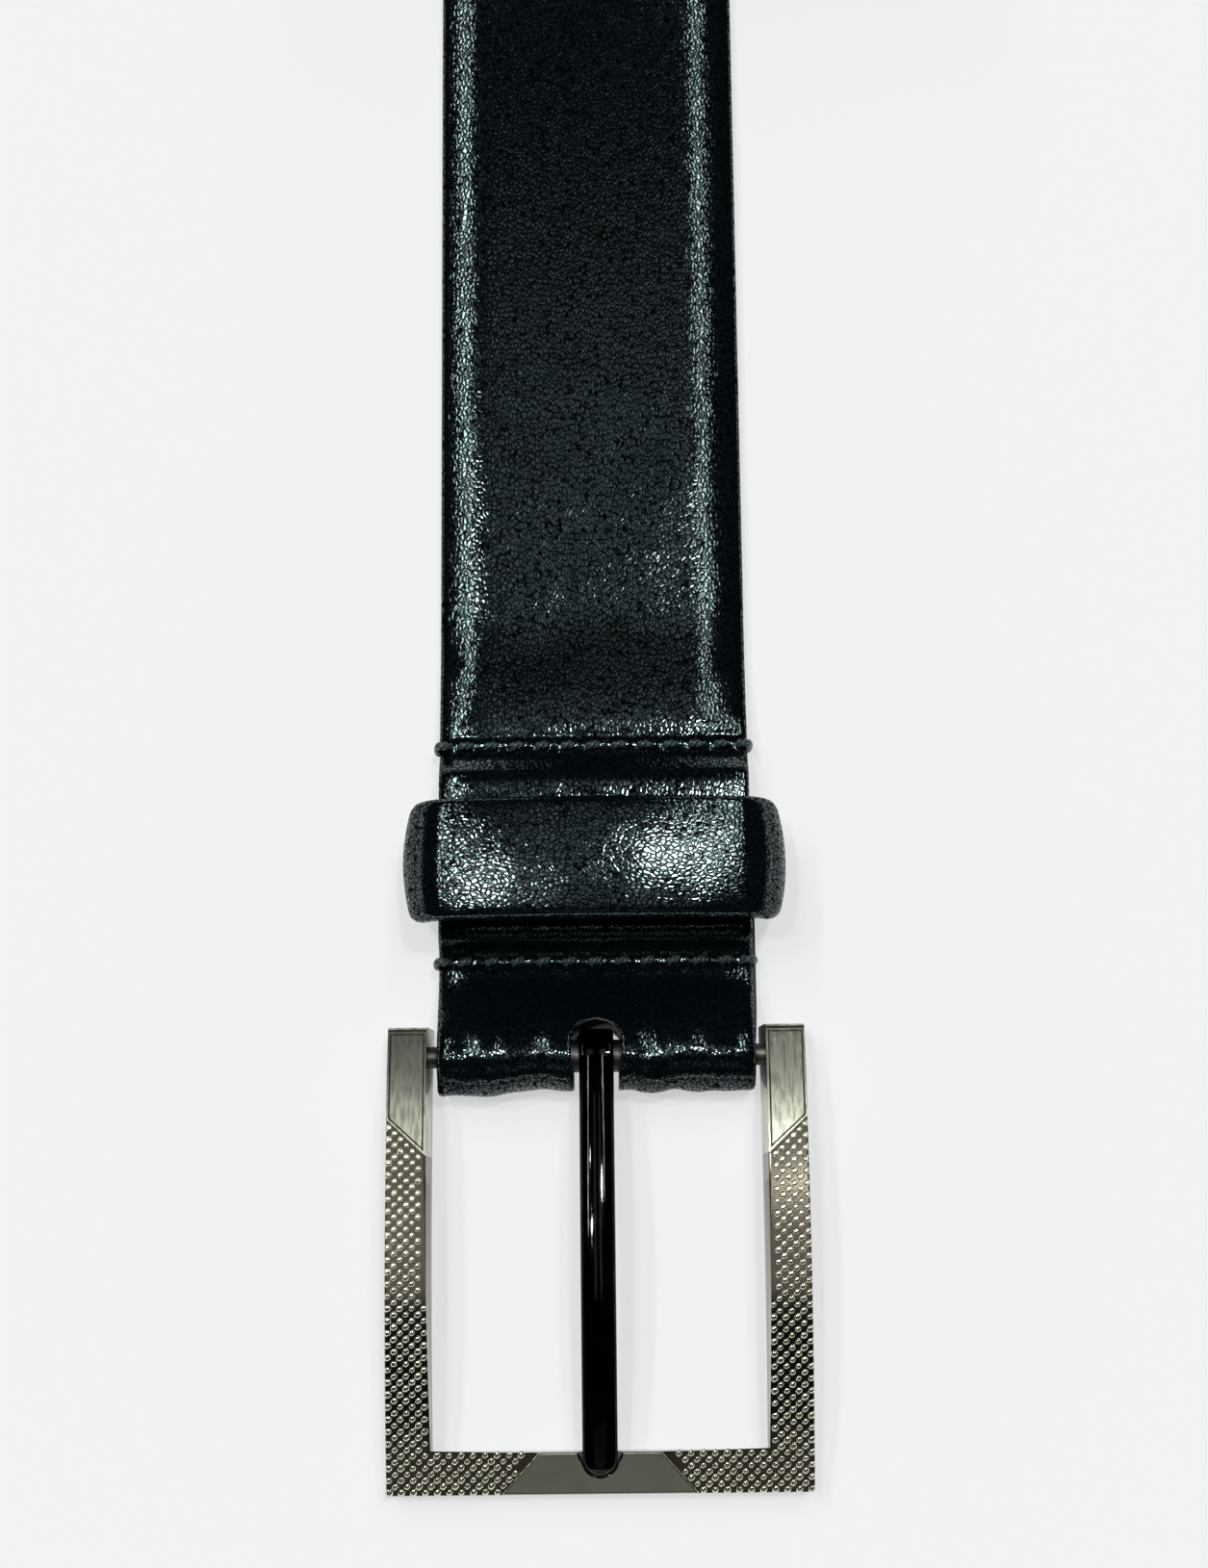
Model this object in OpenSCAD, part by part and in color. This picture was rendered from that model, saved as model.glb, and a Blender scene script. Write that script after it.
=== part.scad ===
// Leather belt with a pin buckle and one fixed-width keeper loop.
// The buckle end lies flat and the far end is wound into an upright double roll.
// Y = 0 is the axis of the buckle's bar while the pieces are built; -Y is the buckle, Z = 0 the table.

/* [Strap] */
// Width of the strap
strap_w = 35; // [28:0.5:40]
// Length from the bar to the tip
strap_len = 1000; // [800:5:1250]
// Thickness of the grained face leather
face_t = 1.2; // [0.9:0.05:1.6]
// Thickness of the filler that raises the middle
filler_t = 1.2; // [0.8:0.05:1.6]
// Width of the filler
filler_w = 27; // [18:0.5:27]
// Thickness of the lining leather
lining_t = 0.9; // [0.7:0.05:1.3]
// Length of the rounded point at the tip
point_len = 24; // [18:0.5:30]
// Radius of the rounding at the very tip
point_r = 7; // [4:0.5:10]

/* [Sizing holes] */
// Number of sizing holes
hole_count = 5; // [3:1:6]
// Distance between two sizing holes
hole_pitch = 25; // [20:0.5:26]
// Distance from the tip to the first hole
hole_first = 75; // [60:1:80]
// Diameter of a sizing hole
hole_d = 4.2; // [4.2:0.1:5]

/* [Fold at the buckle] */
// Length of the return under the strap, from the bar
return_len = 39.5; // [38:0.5:48]
// Distance from the bar to the stitch row next to the buckle
front_row_y = 10.6; // [10:0.2:12]
// Distance from the bar to the stitch row behind the keeper
rear_row_y = 35.3; // [34.5:0.2:38]
// Width of the slot that lets the prong through
slot_w = 5.6; // [5.2:0.1:7]
// Distance that the slot reaches behind the bar axis, above the bar
slot_reach = 4; // [4:0.1:5]
// Distance that the slot reaches behind the bar axis, in the return below the bar
slot_low_reach = 3.4; // [3.4:0.1:4]

/* [Stitching] */
// Diameter of the thread
thread_d = 0.8; // [0.6:0.05:0.9]
// Distance between two needle holes
stitch_pitch = 2.9; // [2.6:0.1:3.6]
// Smallest distance from a needle hole to the strap's edge
stitch_margin = 1.4; // [1:0.1:2.5]

/* [Keeper] */
// Width of the keeper along the strap, at its top
keeper_w = 13.4; // [10:0.2:14]
// Distance from the bar to the middle of the keeper
keeper_y = 20.9; // [20.3:0.1:21.5]
// Room between the strap's edge and the keeper's side, on each side
keeper_side_gap = 1.3; // [0.8:0.1:2]
// Height of the keeper's passage for the strap's own tip
passage_h = 4.4; // [4.3:0.1:6]
// Thickness of the keeper's cover leather
keeper_cover_t = 1; // [0.8:0.05:1.3]
// Thickness of the keeper's filler
keeper_filler_t = 0.55; // [0.4:0.05:0.8]
// Thickness of the keeper's lining
keeper_lining_t = 0.5; // [0.4:0.05:0.7]
// Diameter of the staple's wire
staple_d = 0.6; // [0.5:0.05:0.7]

/* [Buckle] */
// Width of the buckle frame over its two arms
frame_w = 46; // [46:0.5:54]
// Distance from the bar axis to the outer edge of the front bar
frame_front = 46.9; // [42:0.5:56]
// Distance from the bar axis to the rear ends of the arms
frame_rear = 3.3; // [3:0.1:4]
// Thickness of the frame
frame_t = 3.6; // [3.2:0.1:4.2]
// Width of the front bar
front_bar_w = 4.5; // [4.2:0.1:6]
// Radius of the frame's arch, seen from the side
arch_r = 88; // [75:1:150]
// Room between the fold and an arm's foot, on each side
arm_gap = 0.65; // [0.5:0.05:1]
// Depth of the knurled ground below the smooth plates
knurl_depth = 0.25; // [0.15:0.05:0.35]
// Diameter of the bar that the strap folds round
bar_d = 3.6; // [3:0.1:4]
// Diameter of the bar's ends in the arms' sockets
bar_pin_d = 2.4; // [2:0.1:2.6]
// Depth of each arm's socket for the bar
bar_seat = 2.8; // [2:0.1:3.4]

/* [Prong] */
// Width of the prong
prong_w = 3.8; // [3.4:0.1:4]
// Thickness of the prong in the middle
prong_t = 2; // [1.6:0.1:2.2]
// Thickness of the prong at its tip
prong_tip_t = 1.4; // [1.1:0.1:1.6]
// Wall of the prong's eye round the bar
prong_eye_t = 1.15; // [1:0.05:1.3]
// Distance that the prong's tip lies over the front bar
prong_lap = 2.5; // [2:0.1:2.7]
// Depth of the seat that the tip rests in
seat_depth = 1; // [0.7:0.1:1.2]

/* [Roll] */
// Distance from the bar to the middle of the roll
roll_y = 186; // [180:1:230]
// Radius of the roll's S-shaped middle
hub_r = 20; // [18:1:26]
// Gap between the turns of the roll
roll_gap = 0.4; // [0.35:0.05:1]
// How far past the top of the roll the tip lies, in degrees
tip_past_top = 90; // [60:5:100]

/* [Hidden] */
$fn = 48;

// Colours
black_leather = [0.055, 0.065, 0.072];
lining_brown = [0.16, 0.13, 0.11];
board_grey = [0.36, 0.33, 0.29];
thread_black = [0.09, 0.095, 0.1];
nickel = [0.62, 0.61, 0.56];
gunmetal = [0.11, 0.11, 0.12];

// Clearances
bar_clear = 0.1;      // fold round the bar
eye_clear = 0.06;     // prong's eye on the bar
hole_clear = 0.05;    // thread and staple wire in their holes
layer_clear = 0.02;   // two leather layers that lie on each other
run_clear = 0.2;      // keeper's bottom run in its channel
over = 1;             // how far a cutter runs past what it cuts

// Skived ends of the leather
skive_len = 1.5;      // length of the return's thinned end
skive_t = 0.5;        // face leather left at the return's end
lining_end_t = 0.2;   // lining left at the return's end
skive_share = 0.43;   // share of the return's thickness felt just past its end
settle_len = 7;       // length over which the strap comes down and the filler comes in
filler_start = 2;     // length by which the filler starts after its pocket
filler_stop = 5;      // length by which the filler stops before the point

// Stack of leather at the buckle end
strap_t = face_t + filler_t + lining_t;
thin_t = face_t + lining_t;
bar_r = bar_d / 2;
fold_in_r = bar_r + bar_clear;
fold_mid_r = fold_in_r + lining_t;
fold_out_r = fold_mid_r + face_t;
bar_z = fold_out_r;

// Keeper, from its bottom run up
run_t = keeper_cover_t + keeper_lining_t;
run_z = thin_t + run_clear;
channel_z = run_z + run_t + run_clear;
strap_top_z = channel_z + thin_t;
keeper_in_w = strap_w + 2 * keeper_side_gap;
keeper_wall = keeper_cover_t + keeper_filler_t + keeper_lining_t;
keeper_out_w = keeper_in_w + 2 * keeper_wall;
keeper_in_z = strap_top_z + passage_h;
keeper_top_z = keeper_in_z + keeper_wall;
keeper_taper = 3;
keeper_foot_w = keeper_w - keeper_taper;
keeper_joint = 0.2;
keeper_slide_front = 2;
keeper_slide_rear = 4.8;
keeper_filler_in = 1;    // keeper's filler ends this far inside its edge
keeper_lining_in = 0.3;  // and its lining this far
keeper_filler_up = 0.85; // height of the filler's ends over the bottom run
top_corner_r = 4.6;
low_corner_r = 2.8;
top_steps = 8;
low_steps = 5;
staple_half = 3;

// Frame of the buckle: the arch passes through the bar and its front edge stands on the table
function meet_below(p, rp, q, rq) =
    let (v = q - p, d = norm(v), a = (rp * rp - rq * rq + d * d) / (2 * d),
         h = sqrt(rp * rp - a * a), u = v / d)
    p + a * u + h * [-u[1], u[0]];
arch_mid = meet_below([0, bar_z], arch_r, [-frame_front, 0], arch_r - frame_t / 2);
function arch_z(y, r) = arch_mid[1] + sqrt(r * r - pow(y - arch_mid[0], 2));
arch_top_r = arch_r + frame_t / 2;
arch_low_r = arch_r - frame_t / 2;
arm_in = strap_w / 2 + arm_gap;
arm_slope_rear = 0.6;
arm_slope_front = 0.25;
bar_half = arm_in + bar_seat;
front_in_y = -frame_front + front_bar_w;
plate_out_y = -7;
plate_in_y = -11;
centre_plate_in = 6.6;
centre_plate_out = 10.7;
corner_r = 0.5;
plate_slant = (plate_out_y - plate_in_y) / (frame_w / 2 - arm_in);
centre_slant = (centre_plate_out - centre_plate_in) / front_bar_w;
tall = 4 * bar_z;     // clears everything at the buckle

// Prong
eye_bore_r = bar_r + eye_clear;
eye_r = eye_bore_r + prong_eye_t;
seat_side_gap = 0.4;
seat_end_gap = 0.6;
seat_r = prong_w / 2 + seat_side_gap;
tip_y = front_in_y - prong_lap;
seat_mid_y = tip_y - seat_end_gap + seat_r;
seat_z = arch_z(front_in_y - prong_lap / 2, arch_top_r) - seat_depth;
tip_fall = 0.12;      // how much the pin's curve falls over the length cut off past its tip
prong_steps = 24;

// Stitch rows
thread_r = thread_d / 2;
needle_r = thread_r + hole_clear;
stitch_n = 2 * floor(((strap_w / 2 - stitch_margin) / stitch_pitch) + 0.5);
wrap_x = strap_w / 2 + thread_r + layer_clear;
press = 0.8;          // half the width of the groove that a row draws down
thread_sink = 0.1;
row_top_z = 2 * thin_t + layer_clear;
thread_top_z = row_top_z - thread_sink;
thread_low_z = thread_r + hole_clear;

// Double roll: two arms of one spiral, half a turn apart, joined by an S of two half circles
roll_step = strap_t + roll_gap;
roll_k = roll_step / PI;
extra = tip_past_top * PI / 180;
flat_end = roll_y - roll_k;
roll_len = strap_len - flat_end - PI * hub_r;
// both arms: hub_r a + k a a / 2 for the near one, the same with a + extra for the far one
quad_b = 2 * hub_r + roll_k * extra;
quad_c = hub_r * extra + roll_k * extra * extra / 2 - roll_len;
arm_a = (-quad_b + sqrt(quad_b * quad_b - 4 * roll_k * quad_c)) / (2 * roll_k);
arm_b = arm_a + extra;
function arm_r(a) = hub_r + roll_k * a;
function deg(a) = a * 180 / PI;
lean = atan(roll_k / arm_r(arm_a));
roll_z = strap_t / 2 + arm_r(arm_a) * cos(lean);
start_deg = -90 - lean + deg(arm_a);
turn_step = 9;

// One point of the strap's middle line: [y, z, direction y, direction z]
function spiral_pt(a, turn, sign) =
    let (w = start_deg + turn - deg(a), r = arm_r(a),
         dy = roll_k * cos(w) + r * sin(w), dz = roll_k * sin(w) - r * cos(w), n = norm([dy, dz]))
    [roll_y + r * cos(w), roll_z + r * sin(w), sign * dy / n, sign * dz / n];
function half_pt(side, w, sense) =
    let (c = start_deg)
    [roll_y + side * hub_r / 2 * cos(c) + hub_r / 2 * cos(w),
     roll_z + side * hub_r / 2 * sin(c) + hub_r / 2 * sin(w), -sense * sin(w), sense * cos(w)];
steps_a = ceil(deg(arm_a) / turn_step);
hub_steps = 12;
// the filler stops short of the point, so the far arm is cut into two stretches there
plain_len = point_len + filler_stop;
arm_pad = arm_b - plain_len / arm_r(arm_b);
steps_b = ceil(deg(arm_pad) / turn_step);
point_steps = 6;
roll_path = concat(
    [for (i = [0:steps_a]) spiral_pt(arm_a * (1 - i / steps_a), 0, -1)],
    [for (i = [1:hub_steps]) half_pt(1, start_deg + 180 * i / hub_steps, 1)],
    [for (i = [1:hub_steps - 1]) half_pt(-1, start_deg - 180 * i / hub_steps, -1)],
    [for (i = [0:steps_b]) spiral_pt(arm_pad * i / steps_b, 180, 1)],
    [for (i = [1:point_steps]) spiral_pt(arm_pad + (arm_b - arm_pad) * i / point_steps, 180, 1)]);
pad_path = [for (i = [0:len(roll_path) - 1 - point_steps]) roll_path[i]];
point_path = concat([for (i = [len(roll_path) - 1 - point_steps:len(roll_path) - 1]) roll_path[i]],
                    [spiral_pt(arm_b + 0.1, 180, 1)]);
function off(p, d) = [p[0] - d * p[3], p[1] + d * p[2]];
// Side of a rolled stretch at height h above the lining's outer side
function side_of(path, h) = [for (p = path) off(p, h - strap_t / 2)];
function roll_side(h) = side_of(roll_path, h);
function back(list) = [for (i = [len(list) - 1:-1:0]) list[i]];

// Underside of the strap from the bar to where it lies flat, as stations [y, z]
flat_y = return_len + settle_len;
low_stations = [[0, bar_z + fold_in_r], [front_row_y - press, thin_t + layer_clear],
                [front_row_y + press, thin_t + layer_clear],
                [keeper_y - keeper_foot_w / 2 - keeper_slide_front - run_clear, channel_z],
                [keeper_y + keeper_foot_w / 2 + keeper_slide_rear + run_clear, channel_z],
                [rear_row_y - press, thin_t + layer_clear], [rear_row_y + press, thin_t + layer_clear],
                [return_len + 1, thin_t * skive_share], [flat_y, 0]];
ease_steps = 7;
function ease(t) = t * t * (3 - 2 * t);
function eased(list) = [for (i = [0:len(list) - 2]) each
    [for (j = [0:ease_steps - 1]) let (t = j / ease_steps, a = list[i], b = list[i + 1])
        if (j == 0 || a[1] != b[1]) [a[0] + (b[0] - a[0]) * t, a[1] + (b[1] - a[1]) * ease(t)]]];
low_line = eased(low_stations);
// Extra thickness above the lining where the filler comes in
pad_from = rear_row_y + press;
function pad_at(y) = filler_t * ease(max(0, min(1, (y - pad_from) / settle_len)));
function raised(list, h) = [for (p = list) [p[0], p[1] + h]];
function raised_pad(list, h) = [for (p = list) [p[0], p[1] + h + pad_at(p[0])]];

// Whole length of the part, to set the origin under its middle
back_r = arm_r(min(arm_b, arm_a + PI / 2));
y_max = roll_y + back_r * cos(atan(roll_k / back_r)) + strap_t / 2;
mid_y = (y_max - frame_front) / 2;

// A prism whose outline lies in the YZ plane, w wide across the belt
module across(w) {
    rotate([90, 0, 90]) linear_extrude(height = w, center = true) children();
}

// A rod along X
module rod_x(r, w, y, z) {
    translate([0, y, z]) rotate([0, 90, 0]) cylinder(r = r, h = w, center = true);
}

// Leather that wraps the bar as half a ring and runs back as a return
module half_ring(outer, inner) {
    difference() {
        rod_x(outer, strap_w, 0, bar_z);
        rod_x(inner, strap_w + over, 0, bar_z);
        translate([0, fold_out_r / 2 + over / 2, bar_z])
            cube([strap_w + over, fold_out_r + over, 2 * fold_out_r + over], center = true);
    }
}

// Slot cut through one side of the fold, with a rounded end at reach behind the bar
module slot_side(reach, z) {
    slot_mid = reach - slot_w / 2;
    translate([0, slot_mid, z]) cylinder(d = slot_w, h = bar_z + over);
    translate([-slot_w / 2, -fold_out_r - over, z])
        cube([slot_w, fold_out_r + over + slot_mid, bar_z + over]);
}

// Slot for the prong, through both sides of the fold
module prong_slot() {
    slot_side(slot_low_reach, -over);
    slot_side(slot_reach, bar_z);
}

// Needle holes of one stitch row
module needle_holes(row_y) {
    for (i = [0:stitch_n - 1])
        translate([(i - (stitch_n - 1) / 2) * stitch_pitch, row_y, -over])
            cylinder(r = needle_r, h = row_top_z + 2 * over);
}

// Grooves that the thread's runs press into the leather
module thread_grooves(row_y) {
    rod_x(needle_r, strap_w + over, row_y, thread_top_z);
    rod_x(needle_r, strap_w + over, row_y, thread_low_z);
    translate([-(strap_w + over) / 2, row_y - needle_r, -over])
        cube([strap_w + over, 2 * needle_r, over + thread_low_z]);
}

// One sizing hole, the distance d from the tip
module sizing_hole(d) {
    far_len = hub_r * arm_b + roll_k * arm_b * arm_b / 2 - d;
    a = (-hub_r + sqrt(hub_r * hub_r + 2 * roll_k * far_len)) / roll_k;
    p = spiral_pt(a, 180, 1);
    translate([0, p[0], p[1]]) rotate([atan2(p[3], p[2]), 0, 0])
        cylinder(d = hole_d, h = strap_t + roll_gap, center = true);
}

module sizing_holes() {
    for (i = [0:hole_count - 1]) sizing_hole(hole_first + i * hole_pitch);
}

// Everything outside the rounded point, to be cut from the strap's end and from nothing under it
module point_cutter() {
    mid_a = arm_b - point_len / 2 / arm_r(arm_b);
    p = spiral_pt(mid_a, 180, 1);
    start = -point_len / 2;
    run = point_len - point_r;
    side = asin(point_r / norm([strap_w / 2, run])) + atan2(strap_w / 2, run);
    arc_steps = 12;
    intersection() {
        translate([0, p[0], p[1]]) rotate([atan2(p[3], p[2]), 0, 0])
            linear_extrude(height = 6 * strap_t, center = true) difference() {
                translate([-strap_w / 2 - over, start]) square([strap_w + 2 * over, point_len + 4 * over]);
                polygon(concat([[-strap_w / 2, start - over], [-strap_w / 2, start]],
                    [for (i = [0:arc_steps]) let (w = 180 - (90 - side) - 2 * side * i / arc_steps)
                        [point_r * cos(w), start + run + point_r * sin(w)]],
                    [[strap_w / 2, start], [strap_w / 2, start - over]]));
            }
        across(strap_w + 3 * over) polygon(concat(
            side_of(point_path, -roll_gap / 2), back(side_of(point_path, strap_t + roll_gap / 2))));
    }
}

module strap_face() {
    color(black_leather) difference() {
        union() {
            half_ring(fold_out_r, fold_mid_r);
            across(strap_w) polygon(concat(
                raised(low_line, lining_t), roll_side(lining_t), back(roll_side(strap_t)),
                back(raised_pad(low_line, thin_t))));
            across(strap_w) polygon([[0, 0], [return_len, 0], [return_len, skive_t],
                [return_len - skive_len, face_t], [0, face_t]]);
        }
        across(filler_w) polygon(concat(
            [for (p = low_line) if (p[0] > pad_from) [p[0], p[1] + lining_t]], side_of(pad_path, lining_t),
            back(side_of(pad_path, lining_t + filler_t)),
            back([for (p = low_line) if (p[0] > pad_from) [p[0], p[1] + lining_t + pad_at(p[0])]])));
        prong_slot();
        needle_holes(front_row_y);
        needle_holes(rear_row_y);
        thread_grooves(front_row_y);
        thread_grooves(rear_row_y);
        sizing_holes();
        point_cutter();
    }
}

module strap_filler() {
    g = layer_clear;
    skived = [for (p = low_line) if (p[0] > pad_from + filler_start) p];
    color(board_grey) difference() {
        across(filler_w - 2 * g) polygon(concat(
            raised(skived, lining_t + g), side_of(pad_path, lining_t + g),
            back(side_of(pad_path, lining_t + filler_t - g)),
            back([for (p = skived) [p[0], p[1] + lining_t + pad_at(p[0]) - g]])));
        sizing_holes();
    }
}

module strap_lining() {
    lining_end = return_len - skive_len - 2 * lining_end_t;
    color(lining_brown) difference() {
        union() {
            half_ring(fold_mid_r, fold_in_r);
            across(strap_w) polygon(concat(low_line, roll_side(0), back(roll_side(lining_t)),
                back(raised(low_line, lining_t))));
            across(strap_w) polygon([[0, face_t], [lining_end, face_t], [lining_end, face_t + lining_end_t],
                [pad_from, thin_t], [0, thin_t]]);
        }
        prong_slot();
        needle_holes(front_row_y);
        needle_holes(rear_row_y);
        sizing_holes();
        point_cutter();
    }
}

// One row's thread: a run over the strap, a run under it, a leg in each hole and a wrap round each edge
module row_thread(row_y) {
    run = 2 * wrap_x;
    leg_h = thread_top_z - thread_low_z;
    color(thread_black) union() {
        rod_x(thread_r, run, row_y, thread_top_z);
        rod_x(thread_r, run, row_y, thread_low_z);
        for (i = [0:stitch_n - 1])
            translate([(i - (stitch_n - 1) / 2) * stitch_pitch, row_y, thread_low_z])
                cylinder(r = thread_r, h = leg_h);
        for (s = [-1, 1]) {
            translate([s * wrap_x, row_y, thread_low_z]) cylinder(r = thread_r, h = leg_h);
            translate([s * wrap_x, row_y, thread_low_z]) sphere(r = thread_r);
            translate([s * wrap_x, row_y, thread_top_z]) sphere(r = thread_r);
        }
    }
}

module front_row_thread() row_thread(front_row_y);

module rear_row_thread() row_thread(rear_row_y);

// A quarter turn, clockwise from the angle given
function turn_pts(x, z, r, from, steps) =
    [for (i = [0:steps]) let (a = from - 90 * i / steps) [x + r * cos(a), z + r * sin(a)]];

// Outline of the keeper seen along the strap, w wide, from z0 to z1, with top and bottom corner radii
function loop_pts(w, z0, z1, rt, rb) = concat(
    turn_pts(w / 2 - rt, z1 - rt, rt, 90, top_steps), turn_pts(w / 2 - rb, z0 + rb, rb, 0, low_steps),
    turn_pts(-w / 2 + rb, z0 + rb, rb, -90, low_steps), turn_pts(-w / 2 + rt, z1 - rt, rt, 180, top_steps));

// The keeper's closed outline, less g all round, and less b more at the bottom
module loop_solid(g, z0) {
    translate([0, keeper_y + keeper_w / 2 + over, 0]) rotate([90, 0, 0])
        linear_extrude(height = keeper_w + 2 * over)
            polygon(loop_pts(keeper_out_w - 2 * g, z0, keeper_top_z - g,
                             top_corner_r - g, low_corner_r - g));
}

// The keeper narrows a little towards its foot
module loop_sides(w_top, w_foot) {
    across(keeper_out_w + over) polygon([
        [keeper_y - w_foot / 2, run_z - over], [keeper_y + w_foot / 2, run_z - over],
        [keeper_y + w_foot / 2, run_z + run_t], [keeper_y + w_top / 2, keeper_in_z],
        [keeper_y + w_top / 2, keeper_top_z + over], [keeper_y - w_top / 2, keeper_top_z + over],
        [keeper_y - w_top / 2, keeper_in_z], [keeper_y - w_foot / 2, run_z + run_t]]);
}

// Gap where the two ends of the keeper's strip meet, and the staple's holes
module keeper_closing() {
    translate([-keeper_joint / 2, keeper_y - keeper_w, run_z - over])
        cube([keeper_joint, 2 * keeper_w, run_t + 1.5 * over]);
    for (s = [-1, 1])
        translate([s * staple_half, keeper_y, run_z - over])
            cylinder(r = staple_d / 2 + hole_clear, h = run_t + 1.5 * over);
    rod_x(staple_d / 2 + hole_clear, 2 * staple_half + staple_d, keeper_y, run_z + staple_d / 2);
    translate([-staple_half - staple_d / 2, keeper_y - staple_d / 2 - hole_clear, run_z - over])
        cube([2 * staple_half + staple_d, staple_d + 2 * hole_clear, over + staple_d / 2]);
}

module keeper_cover() {
    color(black_leather) difference() {
        intersection() {
            difference() {
                loop_solid(0, run_z);
                loop_solid(keeper_cover_t, run_z + keeper_cover_t);
            }
            loop_sides(keeper_w, keeper_foot_w);
        }
        keeper_closing();
    }
}

module keeper_filler() {
    g = keeper_cover_t + layer_clear;
    h = keeper_cover_t + keeper_filler_t - layer_clear;
    color(board_grey) intersection() {
        difference() {
            loop_solid(g, run_z + keeper_cover_t + layer_clear);
            loop_solid(h, run_z + keeper_cover_t + layer_clear);
            translate([0, keeper_y, run_z])
                cube([keeper_out_w, 2 * keeper_w, 2 * (run_t + keeper_filler_up)], center = true);
        }
        loop_sides(keeper_w - 2 * keeper_filler_in, keeper_foot_w - 2 * keeper_filler_in);
    }
}

module keeper_lining() {
    g = keeper_cover_t + keeper_filler_t;
    color(lining_brown) difference() {
        intersection() {
            difference() {
                loop_solid(g, run_z + keeper_cover_t);
                loop_solid(keeper_wall, run_z + run_t);
            }
            loop_sides(keeper_w - 2 * keeper_lining_in, keeper_foot_w - 2 * keeper_lining_in);
        }
        keeper_closing();
    }
}

module keeper_staple() {
    z = run_z + staple_d / 2;
    color(nickel) union() {
        rod_x(staple_d / 2, 2 * staple_half, keeper_y, z);
        for (s = [-1, 1]) {
            translate([s * staple_half, keeper_y, z]) cylinder(d = staple_d, h = run_t - staple_d / 2);
            translate([s * staple_half, keeper_y, z]) sphere(d = staple_d);
        }
    }
}

// Plan of the U, with slightly rounded front corners
module frame_plan() {
    difference() {
        union() {
            translate([-frame_w / 2, -frame_front + corner_r])
                square([frame_w, frame_front + frame_rear - corner_r]);
            translate([-frame_w / 2 + corner_r, -frame_front])
                square([frame_w - 2 * corner_r, 2 * corner_r]);
            for (s = [-1, 1])
                translate([s * (frame_w / 2 - corner_r), -frame_front + corner_r]) circle(r = corner_r);
        }
        translate([-arm_in, front_in_y]) square([2 * arm_in, frame_rear - front_in_y + over]);
    }
}

// A slab between two radii of the arch
module arch_shell(r_low, r_top) {
    steps = 40;
    y0 = -frame_front - 2 * over;
    y1 = frame_rear + 2 * over;
    ys = [for (i = [0:steps]) y0 + (y1 - y0) * i / steps];
    across(frame_w + over) polygon(concat(
        [for (y = ys) [y, arch_z(y, r_low)]], back([for (y = ys) [y, arch_z(y, r_top)]])));
}

// The arm's inner side leans back towards the top, more at the rear than at the front
module arm_slope(s) {
    z0 = arch_z(front_in_y, arch_low_r);
    block_w = frame_w / 8;
    tilt = atan(arm_slope_front / frame_t);
    swing = atan((arm_slope_rear - arm_slope_front) / (frame_rear - front_in_y));
    translate([s * arm_in, front_in_y, z0]) rotate([0, s * tilt, -s * swing])
        translate([s > 0 ? -block_w : 0, -over / 4, 0])
            cube([block_w, frame_rear - front_in_y + 2 * over, tall]);
}

// Plan of the knurled ground on one side, between the end plate and the centre plate
module knurl_plan(s) {
    x1 = frame_w / 2 + over;
    x0 = arm_in - over;
    polygon([[s * x1, plate_out_y + over * plate_slant], [s * x0, plate_in_y - over * plate_slant],
             [s * x0, front_in_y + over], [s * (centre_plate_in - over * centre_slant), front_in_y + over],
             [s * (centre_plate_out + over * centre_slant), -frame_front - over],
             [s * x1, -frame_front - over]]);
}

module buckle_frame() {
    color(nickel) difference() {
        intersection() {
            translate([0, 0, -over]) linear_extrude(height = tall) frame_plan();
            arch_shell(arch_low_r, arch_top_r);
        }
        for (s = [-1, 1]) {
            arm_slope(s);
            intersection() {
                translate([0, 0, -over]) linear_extrude(height = tall) knurl_plan(s);
                arch_shell(arch_top_r - knurl_depth, arch_top_r + over);
            }
        }
        rod_x(bar_pin_d / 2, 2 * bar_half, 0, bar_z);
        translate([0, seat_mid_y, seat_z]) cylinder(r = seat_r, h = tall);
        translate([-seat_r, seat_mid_y, seat_z]) cube([2 * seat_r, front_bar_w, tall]);
    }
}

module buckle_bar() {
    color(nickel) {
        rod_x(bar_r, strap_w, 0, bar_z);
        rod_x(bar_pin_d / 2, 2 * bar_half, 0, bar_z);
    }
}

// Points of an arc that bulges upwards, from p to q, of radius r
function arc_pts(p, q, r) =
    let (c = meet_below(p, r, q, r),
         a = atan2(p[1] - c[1], p[0] - c[0]), b = atan2(q[1] - c[1], q[0] - c[0]))
    [for (i = [0:prong_steps]) let (w = a + (b - a) * i / prong_steps)
        [c[0] + r * cos(w), c[1] + r * sin(w)]];

module prong() {
    low = [0, bar_z + eye_r - prong_t];
    top = [0, bar_z + eye_r];
    tip_low = [tip_y - over, seat_z + layer_clear - tip_fall];
    tip_top = [tip_y - over, seat_z + layer_clear + prong_tip_t];
    tip_mid = tip_y + prong_w / 2;
    color(gunmetal) difference() {
        union() {
            rod_x(eye_r, prong_w, 0, bar_z);
            intersection() {
                across(prong_w) polygon(concat(
                    arc_pts(low, tip_low, arch_r), back(arc_pts(top, tip_top, arch_r))));
                union() {
                    translate([0, tip_mid, 0]) cylinder(d = prong_w, h = tall);
                    translate([-prong_w / 2, tip_mid, 0]) cube([prong_w, -tip_mid, tall]);
                }
            }
        }
        rod_x(eye_bore_r, prong_w + over, 0, bar_z);
    }
}

translate([0, -mid_y, 0]) {
    strap_face();
    strap_filler();
    strap_lining();
    front_row_thread();
    rear_row_thread();
    keeper_cover();
    keeper_filler();
    keeper_lining();
    keeper_staple();
    buckle_frame();
    buckle_bar();
    prong();
}
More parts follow.
